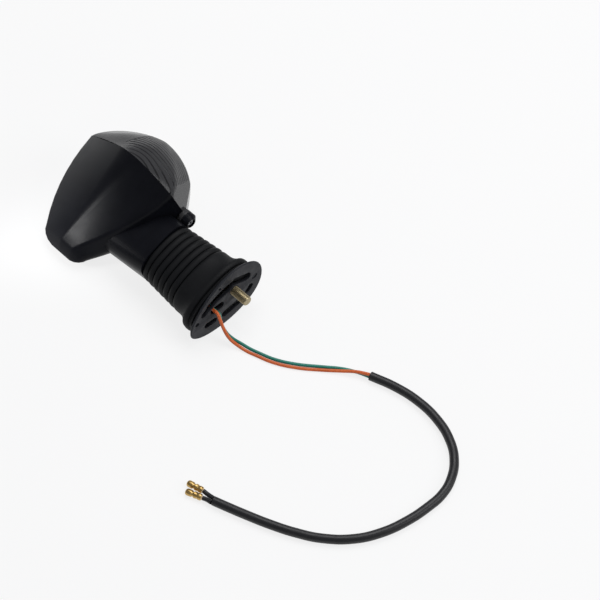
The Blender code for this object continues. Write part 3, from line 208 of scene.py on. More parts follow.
def wear(obj, material, body=None, stands_for=()):
    """Gives a piece its finish, its body and the CAD nodes that it stands for."""
    obj.data.materials.clear()
    obj.data.materials.append(material)
    if body:
        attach(obj, body)
    if stands_for:
        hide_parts(*stands_for)
    return obj


def on_table(point):
    """World place of (x, y, height above the table), in mm."""
    return Vector((point[0] * MM, point[1] * MM, point[2] * MM + TABLE))


def from_stem(x, y, z):
    """World place of a point given in the stem's frame, in mm."""
    return Matrix.Rotation(ROLL, 3, "X") @ (Vector((x, y, z)) * MM)


# Finishes. Patterns are in Object coordinates, in metres, so a pattern of p mm has a scale of 1000 / p


def linear(code):
    """Linear RGBA of an sRGB hex colour."""
    channels = []
    for start in (0, 2, 4):
        value = int(code[start : start + 2], 16) / 255
        channels.append(value / 12.92 if value <= 0.04045 else ((value + 0.055) / 1.055) ** 2.4)
    return (*channels, 1.0)


def add(tree, kind, inputs=(), **settings):
    """A node with its settings, its inputs set or linked."""
    made = tree.nodes.new(kind)
    for key, value in settings.items():
        setattr(made, key, value)
    for key, value in dict(inputs).items():
        if isinstance(value, bpy.types.NodeSocket):
            tree.links.new(value, made.inputs[key])
        else:
            made.inputs[key].default_value = value
    return made


def finish(name):
    """A new material with an empty tree: the material, its tree and its Object coordinates."""
    made = bpy.data.materials.new(name)
    made.use_nodes = True
    tree = made.node_tree
    tree.nodes.clear()
    return made, tree, add(tree, "ShaderNodeTexCoord").outputs["Object"]


def moulded_abs():
    """Injection-moulded ABS from a spark-eroded tool: near black, satin, with a faint even grain."""
    made, tree, coords = finish("moulded_abs")
    # The skin drifts over 9 mm; the tool's 0.1 mm grain is drawn at 0.5 mm so that it shows
    drift = add(tree, "ShaderNodeTexNoise", {"Vector": coords, "Scale": 111.0, "Detail": 3.0})
    tone = add(tree, "ShaderNodeMix", {0: drift.outputs[0], 6: linear("0d0e12"), 7: linear("16171c")}, data_type="RGBA")
    gloss = add(tree, "ShaderNodeMapRange", {0: drift.outputs[0], 1: 0.3, 2: 0.7, 3: 0.28, 4: 0.34})
    fine = add(tree, "ShaderNodeTexNoise", {"Vector": coords, "Scale": 2000.0, "Detail": 2.0})
    skin = add(tree, "ShaderNodeBump", {"Height": fine.outputs[0], "Strength": 0.25, "Distance": 0.03 * MM})
    shader = add(tree, "ShaderNodeBsdfPrincipled", {
        "Base Color": tone.outputs[2], "Roughness": gloss.outputs[0], "Normal": skin.outputs[0],
        "IOR": 1.53, "Specular IOR Level": 0.08,
    })
    add(tree, "ShaderNodeOutputMaterial", {"Surface": shader.outputs[0]})
    return made


def moulded_nylon():
    """Glass-filled nylon: dark grey, duller than ABS, with a slightly cloudy skin where the melt flowed."""
    made, tree, coords = finish("moulded_nylon")
    # Clouds of 4 mm; fibre ends 0.05 mm wide are drawn at 0.6 mm
    drift = add(tree, "ShaderNodeTexNoise", {"Vector": coords, "Scale": 250.0, "Detail": 3.0})
    tone = add(tree, "ShaderNodeMix", {0: drift.outputs[0], 6: linear("1d1e23"), 7: linear("292a2f")}, data_type="RGBA")
    gloss = add(tree, "ShaderNodeMapRange", {0: drift.outputs[0], 1: 0.3, 2: 0.7, 3: 0.5, 4: 0.62})
    fine = add(tree, "ShaderNodeTexNoise", {"Vector": coords, "Scale": 1667.0, "Detail": 2.0})
    skin = add(tree, "ShaderNodeBump", {"Height": fine.outputs[0], "Strength": 0.35, "Distance": 0.04 * MM})
    shader = add(tree, "ShaderNodeBsdfPrincipled", {
        "Base Color": tone.outputs[2], "Roughness": gloss.outputs[0], "Normal": skin.outputs[0],
        "IOR": 1.53, "Specular IOR Level": 0.25,
    })
    add(tree, "ShaderNodeOutputMaterial", {"Surface": shader.outputs[0]})
    return made


def moulded_rubber():
    """Moulded EPDM: matt black with a soft bloom in patches and a fine skin."""
    made, tree, coords = finish("moulded_rubber")
    # Bloom in patches of 7 mm; the blasted mould's 0.15 mm skin is drawn at 0.7 mm
    drift = add(tree, "ShaderNodeTexNoise", {"Vector": coords, "Scale": 143.0, "Detail": 3.0})
    tone = add(tree, "ShaderNodeMix", {0: drift.outputs[0], 6: linear("0b0c0e"), 7: linear("141517")}, data_type="RGBA")
    gloss = add(tree, "ShaderNodeMapRange", {0: drift.outputs[0], 1: 0.3, 2: 0.7, 3: 0.52, 4: 0.64})
    fine = add(tree, "ShaderNodeTexNoise", {"Vector": coords, "Scale": 1429.0, "Detail": 2.0})
    skin = add(tree, "ShaderNodeBump", {"Height": fine.outputs[0], "Strength": 0.3, "Distance": 0.04 * MM})
    shader = add(tree, "ShaderNodeBsdfPrincipled", {
        "Base Color": tone.outputs[2], "Roughness": gloss.outputs[0], "Normal": skin.outputs[0],
        "IOR": 1.52, "Specular IOR Level": 0.18,
    })
    add(tree, "ShaderNodeOutputMaterial", {"Surface": shader.outputs[0]})
    return made


def smoked_acrylic():
    """Smoked acrylic: glossy and grey, just see-through, a little clearer in the thin parts of the moulding, with
    painted shade in each flute's root.
    """
    made, tree, coords = finish("smoked_acrylic")
    # Tint drifts over 14 mm; flow marks are long and shallow, about 3 mm apart
    drift = add(tree, "ShaderNodeTexNoise", {"Vector": coords, "Scale": 71.0, "Detail": 2.0})
    tone = add(tree, "ShaderNodeMix", {0: drift.outputs[0], 6: linear("363637"), 7: linear("444445")}, data_type="RGBA")
    # Painted shade in the root of each flute, 2.4 mm apart: a wave's bands repeat every 2 pi / (20 x scale), so a scale
    # of 130.9
    stem = add(tree, "ShaderNodeMapping", {"Vector": coords, "Rotation": (-ROLL, 0.0, 0.0)})
    bands = add(tree, "ShaderNodeTexWave", {"Vector": stem.outputs[0], "Scale": 130.9}, bands_direction="Z")
    painted_flute_shade = add(tree, "ShaderNodeMapRange", {0: bands.outputs["Fac"], 1: 0.0, 2: 0.34, 3: 0.85, 4: 0.0})
    # The painted shade lies only on the flutes, which lie inboard of the dividing line and stop at the end facet, whose
    # plane is 1.4 x + y = -61.6 mm
    axes = add(tree, "ShaderNodeSeparateXYZ", {0: stem.outputs[0]})
    inboard = add(tree, "ShaderNodeMapRange", {0: axes.outputs["X"], 1: -0.1122, 2: -0.1114, 3: 0.0, 4: 1.0})
    lean = add(tree, "ShaderNodeMath", {0: axes.outputs["X"], 1: 1.4, 2: axes.outputs["Y"]}, operation="MULTIPLY_ADD")
    under = add(tree, "ShaderNodeMath", {0: axes.outputs["Z"], 1: 0.002}, operation="ADD")
    under = add(tree, "ShaderNodeMath", {0: under.outputs[0], 1: 0.0}, operation="MINIMUM")
    lean = add(tree, "ShaderNodeMath", {0: under.outputs[0], 1: -0.55, 2: lean.outputs[0]}, operation="MULTIPLY_ADD")
    dome_side = add(tree, "ShaderNodeMapRange", {0: lean.outputs[0], 1: -0.0634, 2: -0.0626, 3: 1.0, 4: 0.0})
    zone = add(tree, "ShaderNodeMath", {0: inboard.outputs[0], 1: dome_side.outputs[0]}, operation="MULTIPLY")
    lines = add(tree, "ShaderNodeMath", {0: painted_flute_shade.outputs[0], 1: zone.outputs[0]}, operation="MULTIPLY")
    # Painted shade: the flute roots are darkened towards 151516
    tone = add(tree, "ShaderNodeMix", {0: lines.outputs[0], 6: tone.outputs[2], 7: linear("151516")}, data_type="RGBA")
    gloss = add(tree, "ShaderNodeMapRange", {0: drift.outputs[0], 1: 0.3, 2: 0.7, 3: 0.16, 4: 0.22})
    fine = add(tree, "ShaderNodeTexNoise", {"Vector": coords, "Scale": 333.0, "Detail": 1.0})
    flow = add(tree, "ShaderNodeBump", {"Height": fine.outputs[0], "Strength": 0.08, "Distance": 0.05 * MM})
    shader = add(tree, "ShaderNodeBsdfPrincipled", {
        "Base Color": tone.outputs[2], "Roughness": gloss.outputs[0], "Normal": flow.outputs[0],
        "IOR": 1.49, "Specular IOR Level": 0.15, "Alpha": 0.94,
    })
    add(tree, "ShaderNodeOutputMaterial", {"Surface": shader.outputs[0]})
    return made


def yellow_zinc():
    """Zinc plating with a yellow passivate: olive gold that drifts in tint, over a rolled thread."""
    made, tree, coords = finish("yellow_zinc")
    # Tint drifts over 1.8 mm; the rolled skin has marks of 0.3 mm
    drift = add(tree, "ShaderNodeTexNoise", {"Vector": coords, "Scale": 556.0, "Detail": 3.0})
    tone = add(tree, "ShaderNodeMix", {0: drift.outputs[0], 6: linear("85775a"), 7: linear("bdb190")}, data_type="RGBA")
    gloss = add(tree, "ShaderNodeMapRange", {0: drift.outputs[0], 1: 0.3, 2: 0.7, 3: 0.3, 4: 0.42})
    fine = add(tree, "ShaderNodeTexNoise", {"Vector": coords, "Scale": 3333.0, "Detail": 2.0})
    skin = add(tree, "ShaderNodeBump", {"Height": fine.outputs[0], "Strength": 0.25, "Distance": 0.02 * MM})
    shader = add(tree, "ShaderNodeBsdfPrincipled", {
        "Base Color": tone.outputs[2], "Roughness": gloss.outputs[0], "Normal": skin.outputs[0], "Metallic": 1.0,
    })
    add(tree, "ShaderNodeOutputMaterial", {"Surface": shader.outputs[0]})
    return made


def stamped_brass():
    """Stamped and rolled brass strip: warm and bright, with fine drawing marks and light tarnish."""
    made, tree, coords = finish("stamped_brass")
    # Tarnish drifts over 2 mm; drawing marks of 0.4 mm
    drift = add(tree, "ShaderNodeTexNoise", {"Vector": coords, "Scale": 500.0, "Detail": 3.0})
    tone = add(tree, "ShaderNodeMix", {0: drift.outputs[0], 6: linear("9c7a3e"), 7: linear("dcbc7c")}, data_type="RGBA")
    gloss = add(tree, "ShaderNodeMapRange", {0: drift.outputs[0], 1: 0.3, 2: 0.7, 3: 0.2, 4: 0.36})
    fine = add(tree, "ShaderNodeTexNoise", {"Vector": coords, "Scale": 2500.0, "Detail": 2.0})
    skin = add(tree, "ShaderNodeBump", {"Height": fine.outputs[0], "Strength": 0.2, "Distance": 0.02 * MM})
    shader = add(tree, "ShaderNodeBsdfPrincipled", {
        "Base Color": tone.outputs[2], "Roughness": gloss.outputs[0], "Normal": skin.outputs[0], "Metallic": 1.0,
    })
    add(tree, "ShaderNodeOutputMaterial", {"Surface": shader.outputs[0]})
    return made


def zinc_plated_steel():
    """Bright zinc-plated steel: pale, slightly blotchy, with fine rolling grain."""
    made, tree, coords = finish("zinc_plated_steel")
    # Blotches of 2.5 mm; rolling grain of 0.4 mm
    drift = add(tree, "ShaderNodeTexNoise", {"Vector": coords, "Scale": 400.0, "Detail": 3.0})
    tone = add(tree, "ShaderNodeMix", {0: drift.outputs[0], 6: linear("94959a"), 7: linear("babbbe")}, data_type="RGBA")
    gloss = add(tree, "ShaderNodeMapRange", {0: drift.outputs[0], 1: 0.3, 2: 0.7, 3: 0.26, 4: 0.38})
    fine = add(tree, "ShaderNodeTexNoise", {"Vector": coords, "Scale": 2500.0, "Detail": 2.0})
    skin = add(tree, "ShaderNodeBump", {"Height": fine.outputs[0], "Strength": 0.2, "Distance": 0.02 * MM})
    shader = add(tree, "ShaderNodeBsdfPrincipled", {
        "Base Color": tone.outputs[2], "Roughness": gloss.outputs[0], "Normal": skin.outputs[0], "Metallic": 1.0,
    })
    add(tree, "ShaderNodeOutputMaterial", {"Surface": shader.outputs[0]})
    return made


def near_black_steel():
    """Steel made near black and satin, so that it hardly shows through the plate."""
    made, tree, coords = finish("near_black_steel")
    # The dark tone drifts over 2.5 mm; rolling grain of 0.4 mm
    drift = add(tree, "ShaderNodeTexNoise", {"Vector": coords, "Scale": 400.0, "Detail": 3.0})
    tone = add(tree, "ShaderNodeMix", {0: drift.outputs[0], 6: linear("141416"), 7: linear("222225")}, data_type="RGBA")
    gloss = add(tree, "ShaderNodeMapRange", {0: drift.outputs[0], 1: 0.3, 2: 0.7, 3: 0.45, 4: 0.6})
    fine = add(tree, "ShaderNodeTexNoise", {"Vector": coords, "Scale": 2500.0, "Detail": 2.0})
    skin = add(tree, "ShaderNodeBump", {"Height": fine.outputs[0], "Strength": 0.2, "Distance": 0.02 * MM})
    shader = add(tree, "ShaderNodeBsdfPrincipled", {
        "Base Color": tone.outputs[2], "Roughness": gloss.outputs[0], "Normal": skin.outputs[0], "Metallic": 1.0,
    })
    add(tree, "ShaderNodeOutputMaterial", {"Surface": shader.outputs[0]})
    return made


def metallised_plastic():
    """Vacuum-metallised plastic: a soft mirror with the waviness of the moulding under it."""
    made, tree, coords = finish("metallised_plastic")
    # Haze drifts over 12 mm; the moulding's waves are 4 mm long
    drift = add(tree, "ShaderNodeTexNoise", {"Vector": coords, "Scale": 83.0, "Detail": 2.0})
    tone = add(tree, "ShaderNodeMix", {0: drift.outputs[0], 6: linear("a4a6a8"), 7: linear("c0c2c4")}, data_type="RGBA")
    gloss = add(tree, "ShaderNodeMapRange", {0: drift.outputs[0], 1: 0.3, 2: 0.7, 3: 0.14, 4: 0.22})
    wave = add(tree, "ShaderNodeTexNoise", {"Vector": coords, "Scale": 250.0, "Detail": 1.0})
    skin = add(tree, "ShaderNodeBump", {"Height": wave.outputs[0], "Strength": 0.12, "Distance": 0.05 * MM})
    shader = add(tree, "ShaderNodeBsdfPrincipled", {
        "Base Color": tone.outputs[2], "Roughness": gloss.outputs[0], "Normal": skin.outputs[0], "Metallic": 1.0,
    })
    add(tree, "ShaderNodeOutputMaterial", {"Surface": shader.outputs[0]})
    return made


def bulb_glass_clear():
    """Soda-lime bulb glass: clear and thin, with faint drawing streaks."""
    made, tree, coords = finish("bulb_glass_clear")
    # Streaks about 6 mm apart
    drift = add(tree, "ShaderNodeTexNoise", {"Vector": coords, "Scale": 167.0, "Detail": 2.0})
    tone = add(tree, "ShaderNodeMix", {0: drift.outputs[0], 6: linear("e2e6e7"), 7: linear("f6f8f9")}, data_type="RGBA")
    gloss = add(tree, "ShaderNodeMapRange", {0: drift.outputs[0], 1: 0.3, 2: 0.7, 3: 0.02, 4: 0.06})
    shader = add(tree, "ShaderNodeBsdfPrincipled", {
        "Base Color": tone.outputs[2], "Roughness": gloss.outputs[0], "IOR": 1.52, "Alpha": 0.25,
    })
    add(tree, "ShaderNodeOutputMaterial", {"Surface": shader.outputs[0]})
    return made


def drawn_tungsten():
    """Drawn tungsten: dark grey, with fine die lines."""
    made, tree, coords = finish("drawn_tungsten")
    # Die lines drift over 0.6 mm
    drift = add(tree, "ShaderNodeTexNoise", {"Vector": coords, "Scale": 1667.0, "Detail": 2.0})
    tone = add(tree, "ShaderNodeMix", {0: drift.outputs[0], 6: linear("56565b"), 7: linear("7c7c81")}, data_type="RGBA")
    gloss = add(tree, "ShaderNodeMapRange", {0: drift.outputs[0], 1: 0.3, 2: 0.7, 3: 0.35, 4: 0.5})
    shader = add(tree, "ShaderNodeBsdfPrincipled", {
        "Base Color": tone.outputs[2], "Roughness": gloss.outputs[0], "Metallic": 1.0,
    })
    add(tree, "ShaderNodeOutputMaterial", {"Surface": shader.outputs[0]})
    return made


def tin_solder():
    """A blob of tin solder: pale grey with a frosted skin."""
    made, tree, coords = finish("tin_solder")
    # Frost in patches of 1 mm over grains of 0.6 mm
    drift = add(tree, "ShaderNodeTexNoise", {"Vector": coords, "Scale": 1000.0, "Detail": 3.0})
    tone = add(tree, "ShaderNodeMix", {0: drift.outputs[0], 6: linear("a0a2a4"), 7: linear("c4c6c8")}, data_type="RGBA")
    gloss = add(tree, "ShaderNodeMapRange", {0: drift.outputs[0], 1: 0.3, 2: 0.7, 3: 0.3, 4: 0.48})
    fine = add(tree, "ShaderNodeTexNoise", {"Vector": coords, "Scale": 1667.0, "Detail": 2.0})
    skin = add(tree, "ShaderNodeBump", {"Height": fine.outputs[0], "Strength": 0.3, "Distance": 0.05 * MM})
    shader = add(tree, "ShaderNodeBsdfPrincipled", {
        "Base Color": tone.outputs[2], "Roughness": gloss.outputs[0], "Normal": skin.outputs[0], "Metallic": 1.0,
    })
    add(tree, "ShaderNodeOutputMaterial", {"Surface": shader.outputs[0]})
    return made


def phenolic_board():
    """Phenolic paper board: brown, dull, with flecks of paper fibre."""
    made, tree, coords = finish("phenolic_board")
    # Flecks of 1.2 mm over fibres of 0.5 mm
    drift = add(tree, "ShaderNodeTexNoise", {"Vector": coords, "Scale": 833.0, "Detail": 3.0})
    tone = add(tree, "ShaderNodeMix", {0: drift.outputs[0], 6: linear("503520"), 7: linear("7c583e")}, data_type="RGBA")
    gloss = add(tree, "ShaderNodeMapRange", {0: drift.outputs[0], 1: 0.3, 2: 0.7, 3: 0.6, 4: 0.75})
    fine = add(tree, "ShaderNodeTexNoise", {"Vector": coords, "Scale": 2000.0, "Detail": 2.0})
    skin = add(tree, "ShaderNodeBump", {"Height": fine.outputs[0], "Strength": 0.3, "Distance": 0.04 * MM})
    shader = add(tree, "ShaderNodeBsdfPrincipled", {
        "Base Color": tone.outputs[2], "Roughness": gloss.outputs[0], "Normal": skin.outputs[0],
        "Specular IOR Level": 0.3,
    })
    add(tree, "ShaderNodeOutputMaterial", {"Surface": shader.outputs[0]})
    return made


def extruded_pvc(name, dark, light, rough_low, rough_high):
    """Extruded PVC insulation: even colour, soft gloss, slight waviness from the die."""
    made, tree, coords = finish(name)
    # Colour drifts over 5 mm; the die's waves are 2 mm long
    drift = add(tree, "ShaderNodeTexNoise", {"Vector": coords, "Scale": 200.0, "Detail": 3.0})
    tone = add(tree, "ShaderNodeMix", {0: drift.outputs[0], 6: linear(dark), 7: linear(light)}, data_type="RGBA")
    gloss = add(tree, "ShaderNodeMapRange", {0: drift.outputs[0], 1: 0.3, 2: 0.7, 3: rough_low, 4: rough_high})
    wave = add(tree, "ShaderNodeTexNoise", {"Vector": coords, "Scale": 500.0, "Detail": 2.0})
    skin = add(tree, "ShaderNodeBump", {"Height": wave.outputs[0], "Strength": 0.25, "Distance": 0.05 * MM})
    shader = add(tree, "ShaderNodeBsdfPrincipled", {
        "Base Color": tone.outputs[2], "Roughness": gloss.outputs[0], "Normal": skin.outputs[0],
        "IOR": 1.53, "Specular IOR Level": 0.4,
    })
    add(tree, "ShaderNodeOutputMaterial", {"Surface": shader.outputs[0]})
    return made


abs_black = moulded_abs()
nylon = moulded_nylon()
rubber = moulded_rubber()
acrylic = smoked_acrylic()
zinc = yellow_zinc()
brass = stamped_brass()
steel = zinc_plated_steel()
black_steel = near_black_steel()
silver = metallised_plastic()
glass = bulb_glass_clear()
tungsten = drawn_tungsten()
solder = tin_solder()
fibre = phenolic_board()
orange_pvc = extruded_pvc("orange_pvc_insulation", "cc5822", "ea783e", 0.32, 0.42)
green_pvc = extruded_pvc("green_pvc_insulation", "16705f", "2b9482", 0.26, 0.36)
black_pvc = extruded_pvc("black_pvc_sleeve", "151517", "202022", 0.36, 0.48)

CAD_FINISHES = {
    "backing_plate": black_steel,
    "base_screw_front": black_steel,
    "base_screw_rear": black_steel,
    "boot_retainer": steel,
    "bulb_cap": brass,
    "bulb_contact": solder,
    "bulb_filament": tungsten,
    "bulb_glass": glass,
    "bulb_holder": steel,
    "bulb_stem": glass,
    "contact_plunger": fibre,
    "ground_tab": brass,
    "holder_base": fibre,
    "holder_grommet": rubber,
    "lens_gasket": rubber,
    "reflector": silver,
}
for node, material in CAD_FINISHES.items():
    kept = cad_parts[node]
    kept.data.materials.clear()
    kept.data.materials.append(material)


# Camera: the photograph looks down from the stud's side, 53 degrees above the table


def make_camera():
    around, above = math.radians(46), math.radians(53)
    back = Vector((math.sin(around) * math.cos(above), -math.cos(around) * math.cos(above), math.sin(above)))
    pick()
    bpy.ops.object.camera_add(location=(0.5486, -0.4705, 0.9588))
    camera = named("photo_camera")
    camera.rotation_mode = "QUATERNION"
    camera.rotation_quaternion = (-back).to_track_quat("-Z", "Y")
    camera.data.lens = 124.0
    camera.data.sensor_width = 36.0
    bpy.context.scene.camera = camera


make_camera()


# Lead: the points that the cords follow, as (x, y, height of the middle above the table) in mm

ORANGE_HOLE = (-9.3, 4.9)
GREEN_HOLE = (-8.6, 2.6)
ORANGE_ROUTE = (
    (6.0, -10.6, 16.6),
    (9.8, -11.0, 10.6),
    (13.6, -10.4, 5.6),
    (18.4, -8.8, 2.4),
    (24.4, -7.2, 1.05),
    (30.4, -5.4, 1.05),
    (40.5, -1.9, 1.05),
    (52.2, 4.9, 1.05),
    (64.7, 15.2, 1.05),
    (73.0, 22.0, 2.0),
    (80.4, 27.4, 3.4),
)
GREEN_ROUTE = (
    (5.0, -9.6, 14.7),
    (8.8, -9.9, 8.8),
    (12.8, -8.4, 4.2),
    (18.6, -6.0, 1.6),
    (24.2, -4.7, 1.05),
    (30.2, -2.95, 1.05),
    (39.8, 0.45, 1.05),
    (50.7, 6.9, 1.05),
    (63.2, 17.0, 1.05),
    (71.4, 23.7, 1.05),
    (79.2, 28.2, 1.15),
)
LOOM_ROUTE = (
    (87.4, 31.2, 2.75),
    (102.4, 35.9, 2.75),
    (118.0, 38.2, 2.75),
    (134.8, 37.0, 2.75),
    (149.3, 32.1, 2.75),
    (160.0, 24.5, 2.75),
    (167.4, 14.3, 2.75),
    (171.0, 3.4, 2.75),
    (171.2, -8.8, 2.75),
    (169.4, -23.0, 2.75),
    (165.0, -38.0, 2.75),
    (157.4, -51.6, 2.75),
    (145.0, -64.0, 2.75),
    (132.3, -72.0, 2.75),
    (118.8, -78.4, 2.75),
    (104.0, -84.2, 2.75),
    (93.4, -88.0, 2.75),
    (86.4, -90.4, 2.75),
)
ORANGE_TAIL = ((81.0, -89.6, 2.1), (77.6, -89.8, 2.05))
GREEN_TAIL = ((82.6, -92.4, 2.1), (80.6, -93.2, 2.05))
ORANGE_TIP = (67.2, -92.6, 2.05)
GREEN_TIP = (70.6, -97.0, 2.05)


def make_wires():
    loom_in = Vector(LOOM_ROUTE[0])
    along = (Vector(LOOM_ROUTE[1]) - loom_in).normalized()
    for name, hole, route, lift, length, material in (
        ("orange", ORANGE_HOLE, ORANGE_ROUTE, 1.15, 0.1083, orange_pvc),
        ("green", GREEN_HOLE, GREEN_ROUTE, -1.15, 0.1068, green_pvc),
    ):
        # The pair ends one above the other at the sleeve's mouth
        points = [from_stem(0.3, *hole), from_stem(3.3, *hole)]
        points += [on_table(point) for point in route]
        points.append(on_table(loom_in - along * 0.3 + Vector((0.0, 0.0, lift))))
        wire = cord_line(f"{name}_wire_insulation", points, 1.0 * MM)
        wear(wire, material, "base", [f"{name}_wire"])


def bullet(name, start, tip):
    """A bullet terminal: crimp barrel, waist, and a rounded nose with a hole in the end."""
    long = (tip - start).length / MM
    waist = long * 0.55
    chain = [
        (0.6, 0.0), (0.6, 1.55), (0.8, 1.8), (1.3, 1.95), (2.6, 1.95), (2.9, 1.75), (3.5, 1.72), (3.8, 1.95),
        (waist - 0.9, 2.0), (waist - 0.45, 1.6), (waist, 1.48), (waist + 0.45, 1.6), (waist + 0.9, 2.0),
        (long - 1.7, 2.0), (long - 1.1, 1.88), (long - 0.6, 1.6), (long - 0.35, 1.2), (long - 0.3, 0.85),
        (long - 0.6, 0.7), (long - 1.6, 0.65), (long - 1.6, 0.0),
    ]
    obj = turned(name, chain, 28)
    turn = (tip - start).normalized().to_track_quat("X", "Z").to_matrix().to_4x4()
    return placed(obj, Matrix.Translation(start) @ turn)


def make_loom():
    loom_out = Vector(LOOM_ROUTE[-1])
    along = (loom_out - Vector(LOOM_ROUTE[-2])).normalized()
    across = Vector((-along.y, along.x, 0.0))
    for name, route, tip, spread in (
        ("orange", ORANGE_TAIL, ORANGE_TIP, -1.45),
        ("green", GREEN_TAIL, GREEN_TIP, 1.45),
    ):
        points = [on_table(loom_out + along * 0.6 + across * spread)]
        points += [on_table(point) for point in route]
        tail = cord_line(f"{name}_tail_sleeve", points, 1.3 * MM)
        wear(tail, black_pvc, "base", [f"{name}_tail"])
        terminal = bullet(f"{name}_bullet_terminal", points[-1], on_table(tip))
        wear(terminal, brass, "base", [f"{name}_bullet"])
    points = [on_table(point) for point in LOOM_ROUTE]
    loom = cord_line("loom_sleeve_pvc", points, 2.7 * MM)
    wear(loom, black_pvc, "base", ["loom_sleeve"])


make_wires()
make_loom()


# Rubber boot, in two halves that meet in the bottom of a groove

RIBS_X = -21.8
RIB_PITCH = 4.75
RIB_DEPTH = 2.0
GROOVE_X = RIBS_X - 0.22 * RIB_PITCH
SPLIT_X = GROOVE_X - 2 * RIB_PITCH
HEAD_X = -50.3


def ribbed(first_x, last_x):
    """(x, half width, half height) along the ribs: round beads with narrow grooves between."""
    chain = []
    for rib in range(-1, 7):
        for part in (0.0, 0.02, 0.06, 0.12, 0.2, 0.3, 0.4, 0.5, 0.6, 0.7, 0.8, 0.88, 0.94, 0.98):
            x = GROOVE_X - (rib + part) * RIB_PITCH
            if last_x - 1e-6 <= x <= first_x + 1e-6:
                taper = max(0.0, min(1.0, (RIBS_X - x) / (6 * RIB_PITCH)))
                sunk = RIB_DEPTH * (1 - max(0.0, 1 - abs(2 * part - 1) ** 2.2) ** 0.55)
                chain.append((x, 22.2 - 2.5 * taper - sunk, 14.9 - 0.8 * taper - sunk))
    return chain


def oval_loop(name, chain, around=132):
    """A closed loop of (x, half width, half height) rolled round the stem's middle line, on full ovals."""

    def place(row, column):
        x, half_y, half_z = chain[row % len(chain)]
        turn = 2 * math.pi * (column % around) / around
        across, up = math.cos(turn), math.sin(turn)
        y = half_y * math.copysign(abs(across) ** (2 / 2.4), across)
        z = half_z * math.copysign(abs(up) ** (2 / 2.4), up)
        return x, y - 0.65 + 0.0135 * x, z

    return placed(tidy(draped(name, len(chain), around, place), 50.0))


def make_boot():
    # A thin lip under the plate closes its slots; a groove parts it from the soft-edged flange
    foot_chain = [(-2.4, 14.4, 8.8), (-2.4, 25.2, 16.7), (-2.6, 25.4, 16.9), (-2.9, 25.4, 16.9), (-3.3, 25.1, 16.5)]
    foot_chain += [(-3.5, 24.9, 14.8), (-3.7, 24.7, 14.6), (-5.3, 24.7, 14.6), (-5.5, 25.0, 14.9)]
    foot_chain += [(-5.65, 25.5, 15.4), (-6.1, 26.0, 15.9), (-6.9, 26.3, 16.2), (-8.2, 26.3, 16.2), (-8.9, 26.15, 16.05)]
    for step in range(0, 12):
        share = step / 12
        spread = (1 - share) ** 4
        foot_chain.append((-9.4 - 12.4 * share, 22.2 + 3.8 * spread, 14.9 + 0.9 * spread))
    foot_chain += ribbed(RIBS_X, SPLIT_X)
    foot_chain += [(SPLIT_X, 15.5, 9.9), (RIBS_X, 15.5, 9.9), (-13.3, 19.7, 11.8), (-11.1, 21.9, 11.8)]
    foot_chain += [(-5.3, 21.9, 11.8), (-5.3, 14.4, 8.8)]
    foot = wear(oval_loop("boot_foot_half", foot_chain), rubber, None, ["rubber_boot"])
    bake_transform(foot)
    head_chain = [(SPLIT_X, 15.5, 9.9)] + ribbed(SPLIT_X, HEAD_X + 0.15)
    head_chain += [(HEAD_X, 19.2, 13.6), (HEAD_X, 16.1, 11.7), (-59.1, 16.1, 11.7), (-59.1, 13.9, 9.5)]
    head_chain += [(HEAD_X, 13.9, 9.5), (-45.6, 15.5, 9.9)]
    head = wear(oval_loop("boot_head_half", head_chain), rubber, None, ["rubber_boot"])
    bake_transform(head)


make_boot()


# Leads inside the stem, cut where the boot is cut


def make_inside_leads():
    orange = [(-0.3, *ORANGE_HOLE), (-9.1, *ORANGE_HOLE), (-21.8, -5.0, 2.5), (SPLIT_X, -2.6, 1.9), (-50.3, 1.0, 1.0)]
    orange += [(-60.9, 4.0, 0.0), (-64.6, 4.0, 0.0)]
    green = [(-0.3, *GREEN_HOLE), (-9.1, *GREEN_HOLE), (-21.8, -7.0, -2.0), (SPLIT_X, -7.5, -2.3), (-50.3, -8.0, -2.5)]
    green += [(-64.9, -7.1, 0.0), (-70.2, -7.1, 0.0)]
    for name, points, material in (("orange", orange, orange_pvc), ("green", green, green_pvc)):
        for half, chosen, bodies, start, end in (
            ("foot", points[:4], ("base", "stalk"), -10.0, SPLIT_X),
            ("head", points[3:], ("stalk", "head"), SPLIT_X, -50.0),
        ):
            label = f"{name}_lead_{half}"
            pick(cord_line(label, [Vector(point) * MM for point in chosen], 1.0 * MM, around=3))
            bpy.ops.object.convert(target="MESH")
            piece = placed(tidy(named(label)))
            wear(piece, material, None, [f"{name}_lead_inside"])
            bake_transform(piece)


make_inside_leads()


# Stud: a rolled thread with a chamfered end, and the hexagon head inside the boot


def make_stud():
    chain = [(-8.0, 0.0), (-8.0, 2.9), (-1.0, 2.9)]
    for turn in range(14):
        x = -1.0 + 0.85 * turn
        chain += [(x + 0.14, 2.72), (x + 0.4, 2.72), (x + 0.54, 2.93), (x + 0.76, 2.95), (x + 0.85, 2.93)]
    chain += [(11.0, 2.85), (11.3, 2.5), (11.3, 0.0)]
    stud = turned("threaded_stud", chain, 40)
    joined(stud, turned("stud_head", [(-11.0, 0.0), (-11.0, 4.9), (-10.7, 5.2), (-7.4, 5.2), (-7.4, 0.0)], 6))
    moved(stud, (0.0, 7.6, 2.0))
    wear(placed(tidy(stud, 25.0)), zinc, "base", ["mounting_stud"])


make_stud()


# Contact spring behind the bulb


def make_spring():
    points = []
    for step in range(3 * 16 + 1):
        turn = 2 * math.pi * step / 16
        points.append(Vector((-70.4 - 4.2 * step / 48, 4.0 + 4.4 * math.cos(turn), 4.4 * math.sin(turn))) * MM)
    pick(cord_line("contact_spring_coil", points, 0.4 * MM, around=3, along=3))
    bpy.ops.object.convert(target="MESH")
    coil = placed(tidy(named("contact_spring_coil")))
    wear(coil, steel, "head", ["contact_spring"])
    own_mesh(coil)


make_spring()
